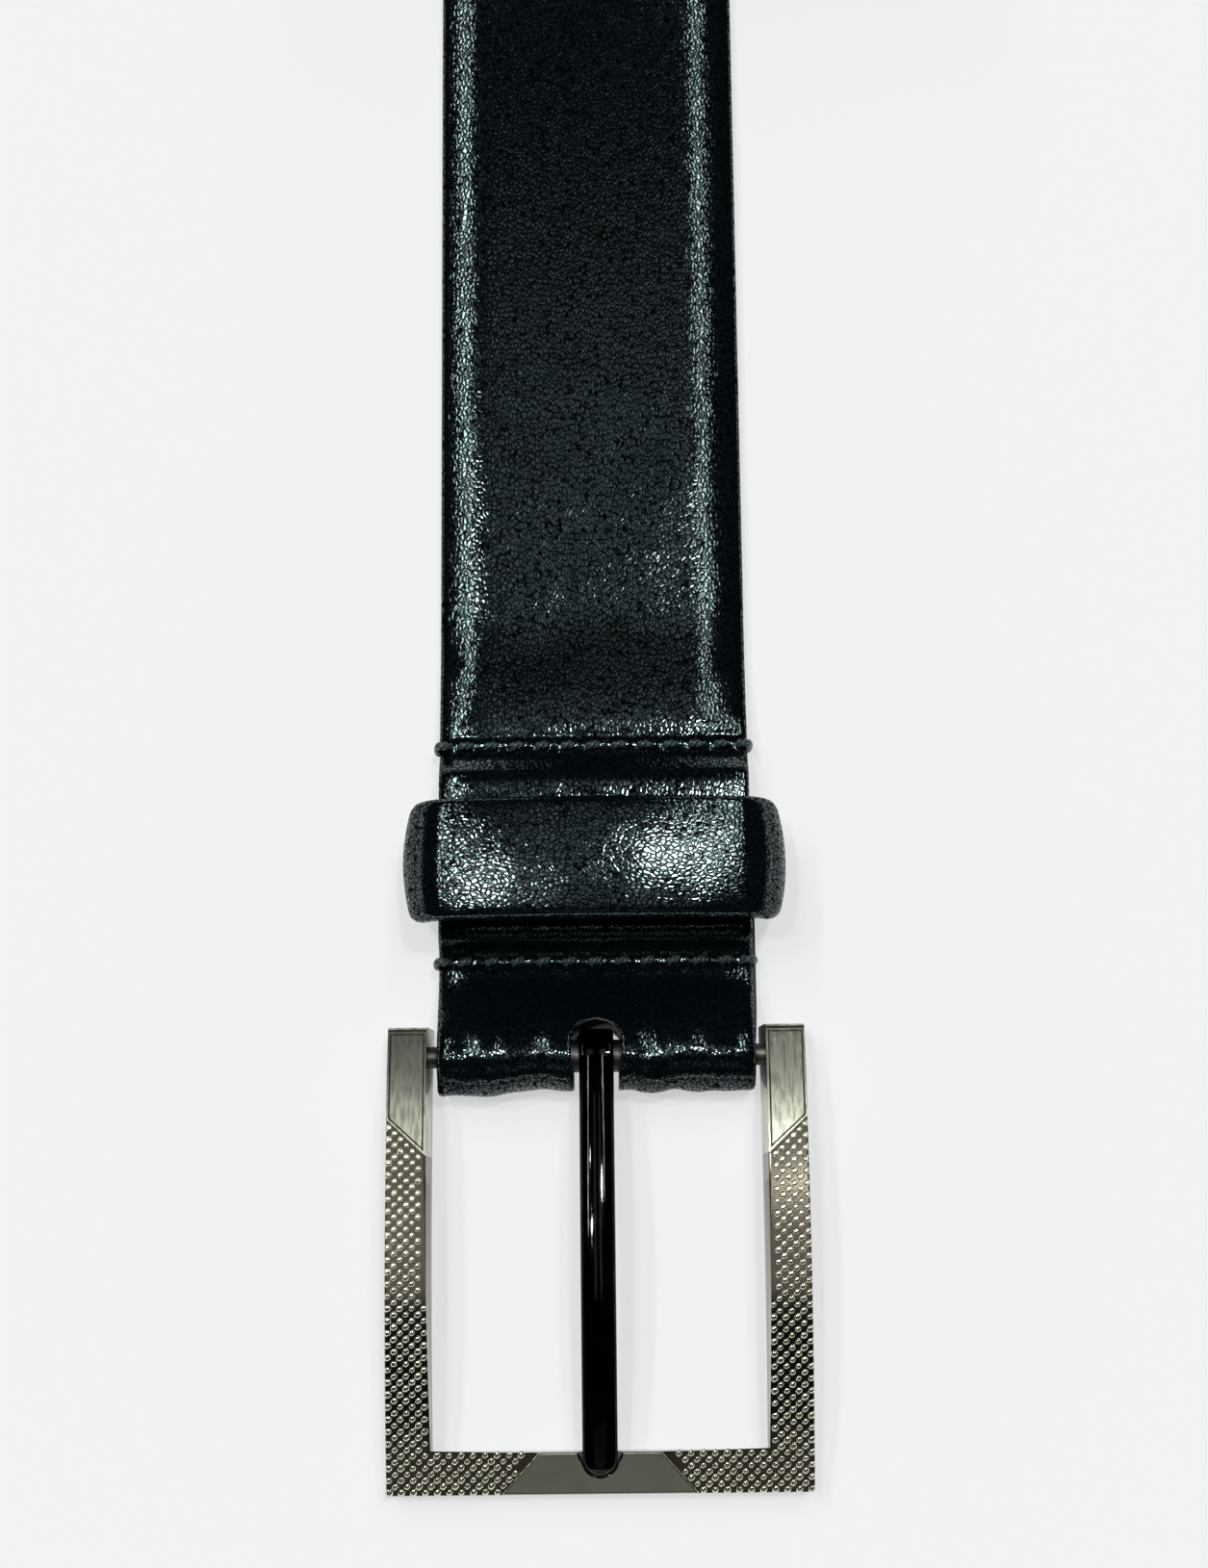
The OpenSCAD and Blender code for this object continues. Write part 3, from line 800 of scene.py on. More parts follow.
@dataclass
class Path:
    """The line of the lining's outer side, as arrays over the distance along the strap."""

    sizes: StrapSizes
    top_from: float = 45.0
    top_to: float = 200.0
    s: np.ndarray = field(init=False)
    y: np.ndarray = field(init=False)
    z: np.ndarray = field(init=False)
    ny: np.ndarray = field(init=False)
    nz: np.ndarray = field(init=False)

    def __post_init__(self) -> None:
        """Works out the whole line: return, fold, top run, flat run and double roll."""
        k = self.sizes
        back, fold = self._return_run(), self._fold()
        line = np.array(back + fold + self._top_run() + self._roll())
        middle = line[:, :2] + line[:, 2:4] * k.thin_t / 2
        steps = np.hypot(*np.diff(middle, axis=0).T)
        s = np.concatenate([[0.0], np.cumsum(steps)])
        far = line[:, 4] > 0
        # along the far arm the distance follows the spiral's own formula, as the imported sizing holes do
        start = s[far][0] - line[far][0, 4]
        s[far] = start + line[far][:, 4]
        self.s, self.y, self.z, self.ny, self.nz = s, *line[:, :4].T
        self.end = float(s[-1])
        self.fold_s = float(s[len(back) + len(fold) // 2])

    def _return_run(self) -> list[tuple[float, ...]]:
        """Works out the return under the strap, from its end to the bar.

        Returns:
            y, z, the direction to the grain side and the run along the far arm, for each point.
        """
        k = self.sizes
        return [(y, k.thin_t, 0.0, -1.0, 0.0) for y in np.linspace(k.return_len, 0.05, 160)]

    def _fold(self) -> list[tuple[float, ...]]:
        """Works out the half turn round the bar.

        Returns:
            The points, as for the return.
        """
        made = []
        for angle in np.radians(np.linspace(-90, -270, 60)):
            c, s = math.cos(angle), math.sin(angle)
            made.append((self.sizes.fold_in_r * c, BAR_Z + self.sizes.fold_in_r * s, c, s, 0.0))
        return made

    def _top_run(self) -> list[tuple[float, ...]]:
        """Works out the run over the return and on along the table.

        Returns:
            The points, as for the return.
        """
        k = self.sizes
        seam = k.thin_t + k.layer_clear
        stations = [(0.0, BAR_Z + k.fold_in_r), (k.front_row - k.press, seam), (k.front_row + k.press, seam),
                    (k.keeper_y - k.keeper_foot / 2 - k.slide_front - k.run_clear, k.channel_z),
                    (k.keeper_y + k.keeper_foot / 2 + k.slide_rear + k.run_clear, k.channel_z),
                    (k.rear_row - k.press, seam), (k.rear_row + k.press, seam),
                    (k.return_len + 1, k.thin_t * k.step_share), (k.flat_y, 0.0)]
        made = []
        for (y0, z0), (y1, z1) in zip(stations, stations[1:]):
            for t in np.arange(0, 1, 0.25 / (y1 - y0)):
                made.append((y0 + (y1 - y0) * t, z0 + (z1 - z0) * float(ease(t)), 0.0, 1.0, 0.0))
        made.pop(0)
        last = k.roll_y - (k.full_t + k.roll_gap) / math.pi
        return made + [(y, 0.0, 0.0, 1.0, 0.0) for y in np.linspace(k.flat_y, last, 300)[:-1]]

    def _roll(self) -> list[tuple[float, ...]]:
        """Works out the double roll: near arm, two half circles and far arm.

        Returns:
            The points, as for the return.
        """
        k = self.sizes
        step = (k.full_t + k.roll_gap) / math.pi
        extra = math.radians(k.past_top)
        length = k.length - (k.roll_y - step) - math.pi * k.hub_r
        b = 2 * k.hub_r + step * extra
        c = k.hub_r * extra + step * extra * extra / 2 - length
        near = (-b + math.sqrt(b * b - 4 * step * c)) / (2 * step)
        far = near + extra
        lean = math.atan(step / (k.hub_r + step * near))
        mid_z = k.full_t / 2 + (k.hub_r + step * near) * math.cos(lean)
        start = near - lean - math.pi / 2
        made = []

        def put(y: float, z: float, dy: float, dz: float, run: float) -> None:
            """Adds one point.

            Args:
                y: place of the strap's middle.
                z: height of the strap's middle.
                dy: y of the way that it runs.
                dz: z of the way that it runs.
                run: distance along the far arm.
            """
            n = math.hypot(dy, dz)
            dy, dz = dy / n, dz / n
            made.append((y + dz * k.full_t / 2, z - dy * k.full_t / 2, -dz, dy, run))

        def arm(a: float, turn: float, sign: int, run: float) -> None:
            """Adds one point of a spiral arm.

            Args:
                a: angle out from the hub.
                turn: how far round the roll the arm is turned.
                sign: -1 on the way in and 1 on the way out.
                run: distance along the far arm.
            """
            w, r = start + turn - a, k.hub_r + step * a
            c, s = math.cos(w), math.sin(w)
            put(k.roll_y + r * c, mid_z + r * s, sign * (step * c + r * s), sign * (step * s - r * c), run)

        for a in np.linspace(near, 0, 900)[:-1]:
            arm(a, 0.0, -1, 0.0)
        for side, sense in ((1, 1), (-1, -1)):
            for w in np.linspace(start, start + sense * math.pi, 120)[:-1]:
                put(k.roll_y + side * k.hub_r / 2 * math.cos(start) + k.hub_r / 2 * math.cos(w),
                    mid_z + side * k.hub_r / 2 * math.sin(start) + k.hub_r / 2 * math.sin(w),
                    -sense * math.sin(w), sense * math.cos(w), 0.0)
        for a in np.linspace(0, far, 900):
            arm(a, math.pi, 1, k.hub_r * a + step * a * a / 2 + 1e-6)
        return made

    def at_y(self, y: float) -> float:
        """Distance along the strap of a place between the bar and the roll."""
        top = (self.nz > 0.99) & (self.s > self.top_from) & (self.s < self.top_to)
        return float(np.interp(y, self.y[top], self.s[top]))

    def points(self, s: np.ndarray) -> tuple[np.ndarray, ...]:
        """Base points and directions at distances along the strap.

        Args:
            s: the distances.

        Returns:
            Arrays of y, z and the two parts of the direction to the grain side.
        """
        y, z, ny, nz = (np.interp(s, self.s, a) for a in (self.y, self.z, self.ny, self.nz))
        n = np.hypot(ny, nz)
        return y, z, ny / n, nz / n


Height = Callable[[np.ndarray, np.ndarray, np.ndarray, np.ndarray], np.ndarray]


@dataclass
class Strap:
    """The strap: grained face, lining, filler and the two stitch rows."""

    sizes: StrapSizes = field(default_factory=StrapSizes)
    crown_flat: float = 11.0
    edge_r: float = 0.5
    cut_r: float = 0.22
    return_shift: float = 0.5
    shift_len: float = 9.0
    narrow: float = 7.0
    pared_t: float = 0.5
    pare_len: float = 1.5
    slot_step_y: float = -3.0
    slot_step_len: float = 3.5
    settle_len: float = 16.0
    droop_flat: float = 13.0
    droop: float = 0.75
    droop_right: float = 0.25
    press_len: float = 0.75
    press_depth: float = 0.3
    press_wave: float = 0.12
    stitch_pitch: float = 2.9
    line_back: float = 1.6
    line_len: float = 0.35
    line_depth: float = 0.05
    flat_wave: float = 0.05
    fold_wave: float = 0.85
    fold_len: float = 6.5
    wrinkled_to: float = 130.0
    wide_folds: Triple = (0.13, 0.11, 3.1)
    small_folds: Triple = (0.36, 0.22, 7.7)

    def __post_init__(self) -> None:
        """Works out the path and where the mesh has its rows."""
        self.path = Path(self.sizes)
        k = self.sizes
        self.half = k.width / 2
        self.low_slot = k.return_len - k.slot_low_reach
        self.high_slot = self.path.at_y(k.slot_reach)
        self.holes = [self.path.end - k.hole_first - i * k.hole_pitch for i in range(k.hole_count)]
        self.rows = [self.path.at_y(k.front_row), self.path.at_y(k.rear_row)]
        self.stations = self._stations()

    def _stations(self) -> np.ndarray:
        """Distances at which the mesh has a row of points.

        Returns:
            The distances in order.
        """
        k, path = self.sizes, self.path
        end_gap, least = 0.02, 0.12
        even = path.at_y(self.wrinkled_to)
        spans = ((0, self.low_slot - 1, 1.5), (self.low_slot, self.high_slot, 0.45),
                 (self.high_slot, even, 0.9), (even, path.end, 2.0))
        wanted = [value for span in spans for value in np.arange(*span)]
        for turn in np.linspace(0, math.pi / 2, 9):
            reach = k.slot_w / 2 * (math.sin(turn) - 1)
            wanted += [k.return_len - k.slot_low_reach - reach, path.at_y(k.slot_reach + reach)]
        for hole in self.holes:
            wanted += list(hole + k.hole_d / 2 * np.sin(np.linspace(-math.pi / 2, math.pi / 2, 17)))
        for row in self.rows:
            wanted += list(row + np.linspace(-2, 2, 15))
        for turn in np.linspace(0, math.pi / 2, 14):
            wanted.append(path.end - k.point_r * (1 - math.cos(turn)) - end_gap)
        wanted.append(path.end - k.point_len)
        exact = [self.low_slot, self.high_slot, 0.0, path.end - end_gap]
        exact += [h + e * k.hole_d / 2 for h in self.holes for e in (-1, 1)]
        free = [w for w in wanted if 0 < w < path.end - end_gap]
        made: list[float] = []
        for value in sorted(exact + free):
            if made and value - made[-1] < least:
                if value in exact:
                    made[-1] = value
                continue
            made.append(value)
        return np.array(made)

    def half_width(self, s: np.ndarray) -> np.ndarray:
        """Works out half the strap's width, with the rounded point.

        Args:
            s: distances along the strap.

        Returns:
            The half widths.
        """
        k = self.sizes
        left = self.path.end - s
        run = k.point_len - k.point_r
        side = math.asin(k.point_r / math.hypot(self.half, run)) + math.atan2(self.half, run)
        meet, meet_left = k.point_r * math.cos(side), k.point_r - k.point_r * math.sin(side)
        tip = np.sqrt(np.clip(k.point_r ** 2 - (k.point_r - left) ** 2, 0.0, None))
        line = meet + (left - meet_left) * (self.half - meet) / (k.point_len - meet_left)
        return np.where(left >= k.point_len, self.half, np.where(left > meet_left, line, tip))

    def cut_width(self, s: np.ndarray) -> np.ndarray:
        """Works out half the width of the prong's slot or of a sizing hole.

        Args:
            s: distances along the strap.

        Returns:
            The half widths, nought where the strap is whole.
        """
        k = self.sizes
        y = self.path.points(s)[0]
        wider = (k.slot_w - k.slot_front_w) * ease((y - self.slot_step_y) / self.slot_step_len)
        half = (k.slot_front_w + wider) / 2
        mid = np.where(s < self.path.fold_s, k.slot_low_reach, k.slot_reach) - k.slot_w / 2
        end = np.sqrt(np.clip(1 - (np.clip(y - mid, 0, None) / (k.slot_w / 2)) ** 2, 0, None)) * half
        made = np.where((s > self.low_slot + 1e-6) & (s < self.high_slot - 1e-6), end, 0.0)
        for hole in self.holes:
            made = np.maximum(made, np.sqrt(np.clip((k.hole_d / 2) ** 2 - (s - hole) ** 2, 0, None)))
        return np.where(made < 0.03, 0.0, made)

    def pad(self, s: np.ndarray) -> np.ndarray:
        """Works out the share of the filler's thickness, eased over the return's end.

        Args:
            s: distances along the strap.

        Returns:
            The shares.
        """
        k = self.sizes
        y, z = self.path.points(s)[:2]
        start, seam = k.rear_row + k.press, k.thin_t + k.layer_clear
        eased = seam + (k.filler_t - seam) * ease((y - start) / self.settle_len)
        over = s < self.path.at_y(start + self.settle_len)
        share = np.where(over, (eased - z) / k.filler_t, 1.0)
        share = np.where(s > self.rows[1] + k.press, share, 0.0)
        return share * (1 - ease((s - (self.path.end - k.point_len - 5)) / 6.0))

    def columns(self, fine: bool) -> tuple[np.ndarray, np.ndarray, np.ndarray]:
        """Places of the mesh's columns between a cut and the strap's edge.

        Args:
            fine: whether the surface has its full detail.

        Returns:
            Offsets from the cut, shares of the middle, and offsets from the edge.
        """
        if fine:
            near, count = [0, 0.05, 0.14, 0.3, 0.9], 25
            edge = [2.2, 1.4, 0.85, 0.5, 0.32, 0.18, 0.08, 0.02, 0]
        else:
            near, count = [0, 0.15, 0.6], 5
            edge = [1.2, 0.3, 0.1, 0]
        return np.array(near), np.linspace(0, 1, count)[1:-1], np.array(edge)

    def shell(self, surface: Height, base: float, fine: bool) -> bmesh.types.BMesh:
        """Makes a closed layer of leather along the whole path.

        Args:
            surface: gives heights above the path from distances, places across, and the distances
                from the strap's edge and from a cut.
            base: height of the hidden side.
            fine: whether the surface has its full detail.

        Returns:
            The layer, with cut walls and ends in material 1.
        """
        s = self.stations
        y, z, ny, nz = self.path.points(s)
        wide, cut = self.half_width(s), self.cut_width(s)
        near, middle, edge = self.columns(fine)
        room = (wide - cut)[:, None]
        squeeze = np.clip(room / self.narrow, 0.0, 1.0)
        inner = cut[:, None] + near[None] * squeeze
        outer = wide[:, None] - edge[None] * squeeze
        body = inner[:, -1:] + (outer[:, :1] - inner[:, -1:]) * middle[None]
        v = np.concatenate([inner, body, outer], axis=1)
        from_edge = wide[:, None] - v
        from_cut = np.where(cut[:, None] > 0, v - cut[:, None], self.half)
        shift = self.return_shift * (1 - ease((s - self.low_slot + 2) / self.shift_len))
        shift = shift * ease((s - 7.0) / self.shift_len)
        work = bmesh.new()
        last = v.shape[1] - 1

        def lay(i: int, across: float, height: float) -> bmesh.types.BMVert:
            """Adds the point of a station that is a place across and a height above the path."""
            return work.verts.new((across + shift[i], y[i] + ny[i] * height, z[i] + nz[i] * height))

        halves = []
        for side in Side:
            u = side.value * v
            h = surface(s[:, None] + 0 * v, u, from_edge, from_cut)
            top = [[lay(i, u[i, j], h[i, j]) for j in range(last + 1)] for i in range(len(s))]
            halves.append((top, [[lay(i, u[i, j], base) for j in (0, last)] for i in range(len(s))]))
        for top, low in halves:
            for i in range(len(s) - 1):
                for j in range(last):
                    work.faces.new((top[i][j], top[i][j + 1], top[i + 1][j + 1], top[i + 1][j]))
                work.faces.new((low[i][0], low[i][1], low[i + 1][1], low[i + 1][0]))
                work.faces.new((top[i][last], low[i][1], low[i + 1][1], top[i + 1][last])).material_index = 1
                if cut[i] > 0 or cut[i + 1] > 0:
                    work.faces.new((top[i][0], low[i][0], low[i + 1][0], top[i + 1][0])).material_index = 1
            for i in (0, len(s) - 1):
                work.faces.new([*top[i], low[i][1], low[i][0]]).material_index = 1
        bmesh.ops.remove_doubles(work, verts=work.verts, dist=0.002)
        return work

    def face_height(self, s: np.ndarray, v: np.ndarray, edge: np.ndarray, cut: np.ndarray) -> np.ndarray:
        """Works out the height of the grain side above the path.

        Args:
            s: distances along the strap.
            v: places across it.
            edge: distances from the strap's edge.
            cut: distances from a slot or hole.

        Returns:
            The heights.
        """
        k, pad = self.sizes, self.pad(s)
        upper = self.path.points(s)[3] > 0.5
        drop = np.clip((np.abs(v) - self.crown_flat) / (self.half - self.crown_flat), 0, 1) ** 2
        fall = np.clip((np.abs(v) - self.droop_flat) / (self.half - self.droop_flat), 0, 1) ** 2
        h = k.thin_t + pad * k.filler_t * (1 - drop) - rounding(edge, self.edge_r) - rounding(cut, self.cut_r)
        h = h - self.droop * np.where(v < 0, 1.0, self.droop_right) * fall * (1 - np.clip(pad, 0, 1)) * upper
        pull = self.press_depth + self.press_wave * np.cos(2 * math.pi * v / self.stitch_pitch)
        for row in self.rows:
            h = h - np.exp(-((s - row) / self.press_len) ** 2) * pull
        h = h - self.line_depth * np.exp(-((s - self.rows[1] - self.line_back) / self.line_len) ** 2)
        return h + self._wrinkles(s, v) - (k.face_t - self.pared_t) * (1 - ease(s / self.pare_len))

    def _wrinkles(self, s: np.ndarray, v: np.ndarray) -> np.ndarray:
        """Works out a soft unevenness, strongest where the leather turns round the bar.

        Args:
            s: distances along the strap.
            v: places across it.

        Returns:
            Heights to add.
        """
        made = np.zeros_like(s)
        above = ease((self.path.points(s)[3] + 0.9) / 0.8)
        for i in np.flatnonzero(s[:, 0] <= self.wrinkled_to):
            along = float(s[i, 0])
            bend = math.exp(-((along - self.path.fold_s) / self.fold_len) ** 2)
            for j, across in enumerate(v[i]):
                wide, small = (noise.noise(Vector((across * f[0], along * f[1], f[2])))
                               for f in (self.wide_folds, self.small_folds))
                made[i, j] = (wide + 0.6 * small) * (self.flat_wave + self.fold_wave * bend)
        return made * above

    def make_face(self) -> bpy.types.Object:
        """Makes the grained face.

        Returns:
            The face.
        """
        work = self.shell(self.face_height, self.sizes.lining_t + self.sizes.layer_clear / 2, True)
        return settle("face", work, (STRAP_LEATHER, EDGE_PAINT), "strap", ("strap_face",),
                      sharp=50)

    def make_lining(self) -> bpy.types.Object:
        """Makes the lining.

        Returns:
            The lining.
        """
        lining_t = self.sizes.lining_t

        def inside(s: np.ndarray, v: np.ndarray, edge: np.ndarray, cut: np.ndarray) -> np.ndarray:
            """Height of the flesh side, which is pared thin at the return's end."""
            return (lining_t - 0.2) * (1 - ease((s - 1.6) / 1.6)) + rounding(edge, 0.25) + rounding(cut, 0.15)

        return settle("lining", self.shell(inside, lining_t, False), (LINING, EDGE_PAINT), "strap",
                      ("strap_lining",), sharp=50)

    def make(self) -> list[bpy.types.Object]:
        """Makes the strap's pieces."""
        wear("strap_filler", BOARD)
        return [self.make_face(), self.make_lining()]


# Stitching


@dataclass
class StitchRow:
    """One row of stitches across the strap, with a wrap round each edge."""

    name: str
    y: float
    slant: float
    seed: int
    top_z: float = 4.22
    low_z: float = 0.48
    count: int = 11
    pitch: float = 2.9
    length: float = 1.7
    ply_r: float = 0.25
    twist_r: float = 0.21
    half: float = 17.5
    stray: float = 0.08

    def kit(self) -> Kit:
        """Builds the node tree that lays the stitches.

        Returns:
            The tree.
        """
        sizes = ("Pitch", "Length", "Ply Radius", "Twist Radius", "Row", "Top", "Low", "Half Width", "Slant")
        kit = Kit(self.name + "_stitches", sizes, ("Count", "Seed"))
        take = kit.take
        stitch = self._twisted(kit)
        first = kit.combine((take("Count") - 1.0) * take("Pitch") * -0.5, take("Row"), take("Top"))
        line = kit.get("GeometryNodeMeshLine", 0, {"mode": "OFFSET"}, {
            "Count": take("Count"), "Start Location": first, "Offset": kit.combine(take("Pitch"))})
        turn = kit.get("FunctionNodeRandomValue", 1, None,
                       {2: -self.stray, 3: self.stray, "Seed": take("Seed")})
        laid = kit.get("GeometryNodeInstanceOnPoints", 0, None, {
            "Points": line, "Instance": stitch, "Rotation": kit.combine(z=take("Slant") + turn)})
        parts = [laid, kit.moved(laid, Rotation=(math.pi, 0.0, 0.0),
                                 Translation=kit.combine(y=take("Row") * 2.0, z=take("Low") + take("Top")))]
        for side in Side:
            parts += self._wrap(kit, stitch, side.value)
        kit.close(kit.joined(*parts))
        return kit

    def _wrap(self, kit: Kit, stitch: Field, side: int) -> list[Field]:
        """Lays the thread round one edge: down it, and in over both faces.

        Args:
            kit: the tree.
            stitch: one stitch, lying along x.
            side: -1 for the left edge and 1 for the right.

        Returns:
            The three lengths of thread.
        """
        take = kit.take
        reach = (take("Half Width") + take("Ply Radius") * 1.1) * side
        height = take("Top") - take("Low")
        middle = kit.combine(reach, take("Row") + 0.1 * MM * side, take("Low") + height * 0.5)
        size = kit.combine(height * 1.12 / take("Length"), 1.15, 1.0)
        upright = (0.0, math.radians(90) * side, 0.0)
        made = [kit.moved(stitch, Translation=middle, Rotation=upright, Scale=size)]
        for level, roll in (("Top", 0.0), ("Low", math.pi)):
            place = kit.combine(reach - take("Length") * 0.42 * side, take("Row"), take(level))
            made.append(kit.moved(stitch, Translation=place, Rotation=(roll, 0.0, 0.0),
                                  Scale=(1.1, 1.15, 1.0)))
        return made

    def _twisted(self, kit: Kit) -> Field:
        """Adds one stitch: two plies twisted round each other, with both ends drawn down.

        Args:
            kit: the tree.

        Returns:
            The stitch, lying along x.
        """
        take = kit.take
        spiral = kit.get("GeometryNodeCurveSpiral", 0, None, {
            "Resolution": 14, "Rotations": 1.15, "Start Radius": take("Twist Radius"),
            "End Radius": take("Twist Radius"), "Height": take("Length")})
        ring = kit.get("GeometryNodeCurvePrimitiveCircle", 0, None,
                       {"Resolution": 8, "Radius": take("Ply Radius")})
        ply = kit.get("GeometryNodeCurveToMesh", 0, None, {
            "Curve": spiral, "Profile Curve": ring, "Fill Caps": True})
        both = kit.joined(ply, kit.moved(ply, Rotation=(0.0, 0.0, math.pi)))
        lying = kit.moved(both, Rotation=(0.0, math.radians(90), 0.0),
                          Translation=kit.combine(take("Length") * -0.5))
        x, y, z = kit.split(kit.get("GeometryNodeInputPosition"))
        out = (x / (take("Length") * 0.5)).abs()
        thin = 1.0 - out * out * 0.3
        return kit.reshaped(lying, x, y * thin, z * thin - out ** 4.0 * take("Ply Radius") * 2.2)

    def make(self, node: str) -> bpy.types.Object:
        """Makes the row's thread.

        Args:
            node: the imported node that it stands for.

        Returns:
            The thread.
        """
        values = {"Pitch": self.pitch * MM, "Length": self.length * MM, "Ply Radius": self.ply_r * MM,
                  "Twist Radius": self.twist_r * MM, "Row": BAR_Y + self.y * MM, "Top": self.top_z * MM,
                  "Low": self.low_z * MM, "Half Width": self.half * MM, "Slant": math.radians(self.slant),
                  "Count": self.count, "Seed": self.seed, "Material": THREAD.material()}
        return harvest([], self.kit(), values, self.name, "strap", (node,))


# The keeper


@dataclass
class Keeper:
    """The padded loop: grained cover over its filler and lining."""

    width: float = 13.4
    foot: float = 10.4
    y: float = 20.9
    out_w: float = 41.7
    low_z: float = 2.3
    in_z: float = 10.5
    top_z: float = 12.55
    cover_t: float = 1.0
    filler_t: float = 0.55
    run_t: float = 1.5
    top_r: float = 4.6
    low_r: float = 2.8
    joint: float = 0.2
    edge_r: float = 0.8
    crown: float = 0.42
    side_crown: float = 0.9
    side_in: float = 0.5
    crown_across: float = 1.6
    ends_in: float = 0.35
    wall: float = 0.85
    wave: float = 0.05
    wave_scale: float = 0.3

    def outline(self) -> list[tuple[float, float, float, float]]:
        """Works out the loop seen along the strap, from one end of its strip to the other.

        Returns:
            x, z and the outward direction of each point.
        """
        half = self.out_w / 2
        made: list[tuple[float, float, float, float]] = []
        corners = [(half - self.low_r, self.low_z + self.low_r, self.low_r, -90, 8),
                   (half - self.top_r, self.top_z - self.top_r, self.top_r, 0, 14)]
        made += [(x, self.low_z, 0.0, -1.0) for x in np.linspace(self.joint / 2, half - self.low_r, 12)[:-1]]
        for x, z, r, start, steps in corners:
            for angle in np.radians(np.linspace(start, start + 90, steps)):
                c, s = math.cos(angle), math.sin(angle)
                made.append((x + r * c, z + r * s, c, s))
        made += [(x, self.top_z, 0.0, 1.0) for x in np.linspace(half - self.top_r, 0, 18)[1:]]
        return made + [(-x, z, -nx, nz) for x, z, nx, nz in reversed(made[:-1])]

    def half_at(self, z: float) -> float:
        """Works out half the keeper's width, which narrows towards its foot.

        Args:
            z: height above the table.

        Returns:
            The half width.
        """
        foot_z = self.low_z + self.run_t
        share = min(max((z - foot_z) / (self.in_z - foot_z), 0.0), 1.0)
        return (self.foot + (self.width - self.foot) * share) / 2

    def ring(self, x: float, z: float, nz: float) -> Plan:
        """Works out the cover's section at one point of the loop.

        Args:
            x: the point's place across the strap.
            z: its height.
            nz: z of the outward direction there.

        Returns:
            Place along the strap and height above the loop's line, for each point round the section.
        """
        half, up = self.half_at(z), max(nz, 0.0)
        steps = np.array([0, 0.05, 0.16, 0.34, 0.58, 0.9, 1.5, 2.6])
        wide = np.concatenate([steps - half, np.linspace(3.8 - half, half - 3.8, 5), half - steps[::-1]])
        swell = (self.crown * up + self.side_crown * (1 - up)) * (1 - (wide / half) ** 2)
        across = self.crown_across * (1 - min(abs(2 * x / self.out_w), 1.0) ** 2) - self.ends_in
        swell = swell + across * up - self.side_in * (1 - up) - rounding(half - np.abs(wide), self.edge_r)
        waves = [self.wave * noise.noise(Vector((x, w, z)) * self.wave_scale) for w in wide]
        deep = self.cover_t + (self.filler_t - 0.05) * float(ease((z - self.low_z - 1.7) / 1.0))
        wall = half - self.wall
        return [*zip(wide, swell + waves), (half, -deep), (wall, -deep), (wall, -self.cover_t),
                (-wall, -self.cover_t), (-wall, -deep), (-half, -deep)]

    def make(self) -> bpy.types.Object:
        """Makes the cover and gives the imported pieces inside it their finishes.

        Returns:
            The cover.
        """
        work = bmesh.new()
        rings = [[work.verts.new((x + nx * h, self.y + w, z + nz * h)) for w, h in self.ring(x, z, nz)]
                 for x, z, nx, nz in self.outline()]
        bridge(work, rings)
        for ring in (rings[0], rings[-1]):
            work.faces.new(ring).material_index = 1
        for node, finish in (("keeper_lining", LINING), ("keeper_filler", BOARD), ("keeper_staple", PLATE)):
            wear(node, finish)
        return settle("keeper_loop", work, (KEEPER_LEATHER, EDGE_PAINT), "keeper",
                      ("keeper_cover",), sharp=60)


# The buckle

ARCH_R = 88.0


@dataclass
class Arch:
    """The buckle's curve seen from the side."""

    mid_y: float
    mid_z: float
    radius: float

    def z(self, y: float, rise: float) -> float:
        """Height of the curve at y, rise above its middle radius."""
        return self.mid_z + math.sqrt((self.radius + rise) ** 2 - (y - self.mid_y) ** 2)

    @staticmethod
    def through(p: tuple[float, float], rp: float, q: tuple[float, float], rq: float) -> "Arch":
        """Finds the arch about the point that is rp from p and rq from q, below both.

        Args:
            p: first point, y and z.
            rp: its distance, kept as the arch's radius.
            q: second point.
            rq: its distance.

        Returns:
            The arch.
        """
        v = Vector(q) - Vector(p)
        d = v.length
        a = (rp * rp - rq * rq + d * d) / (2 * d)
        h = math.sqrt(rp * rp - a * a)
        u = v / d
        mid = Vector(p) + a * u + h * Vector((-u[1], u[0]))
        return Arch(mid[0], mid[1], rp)


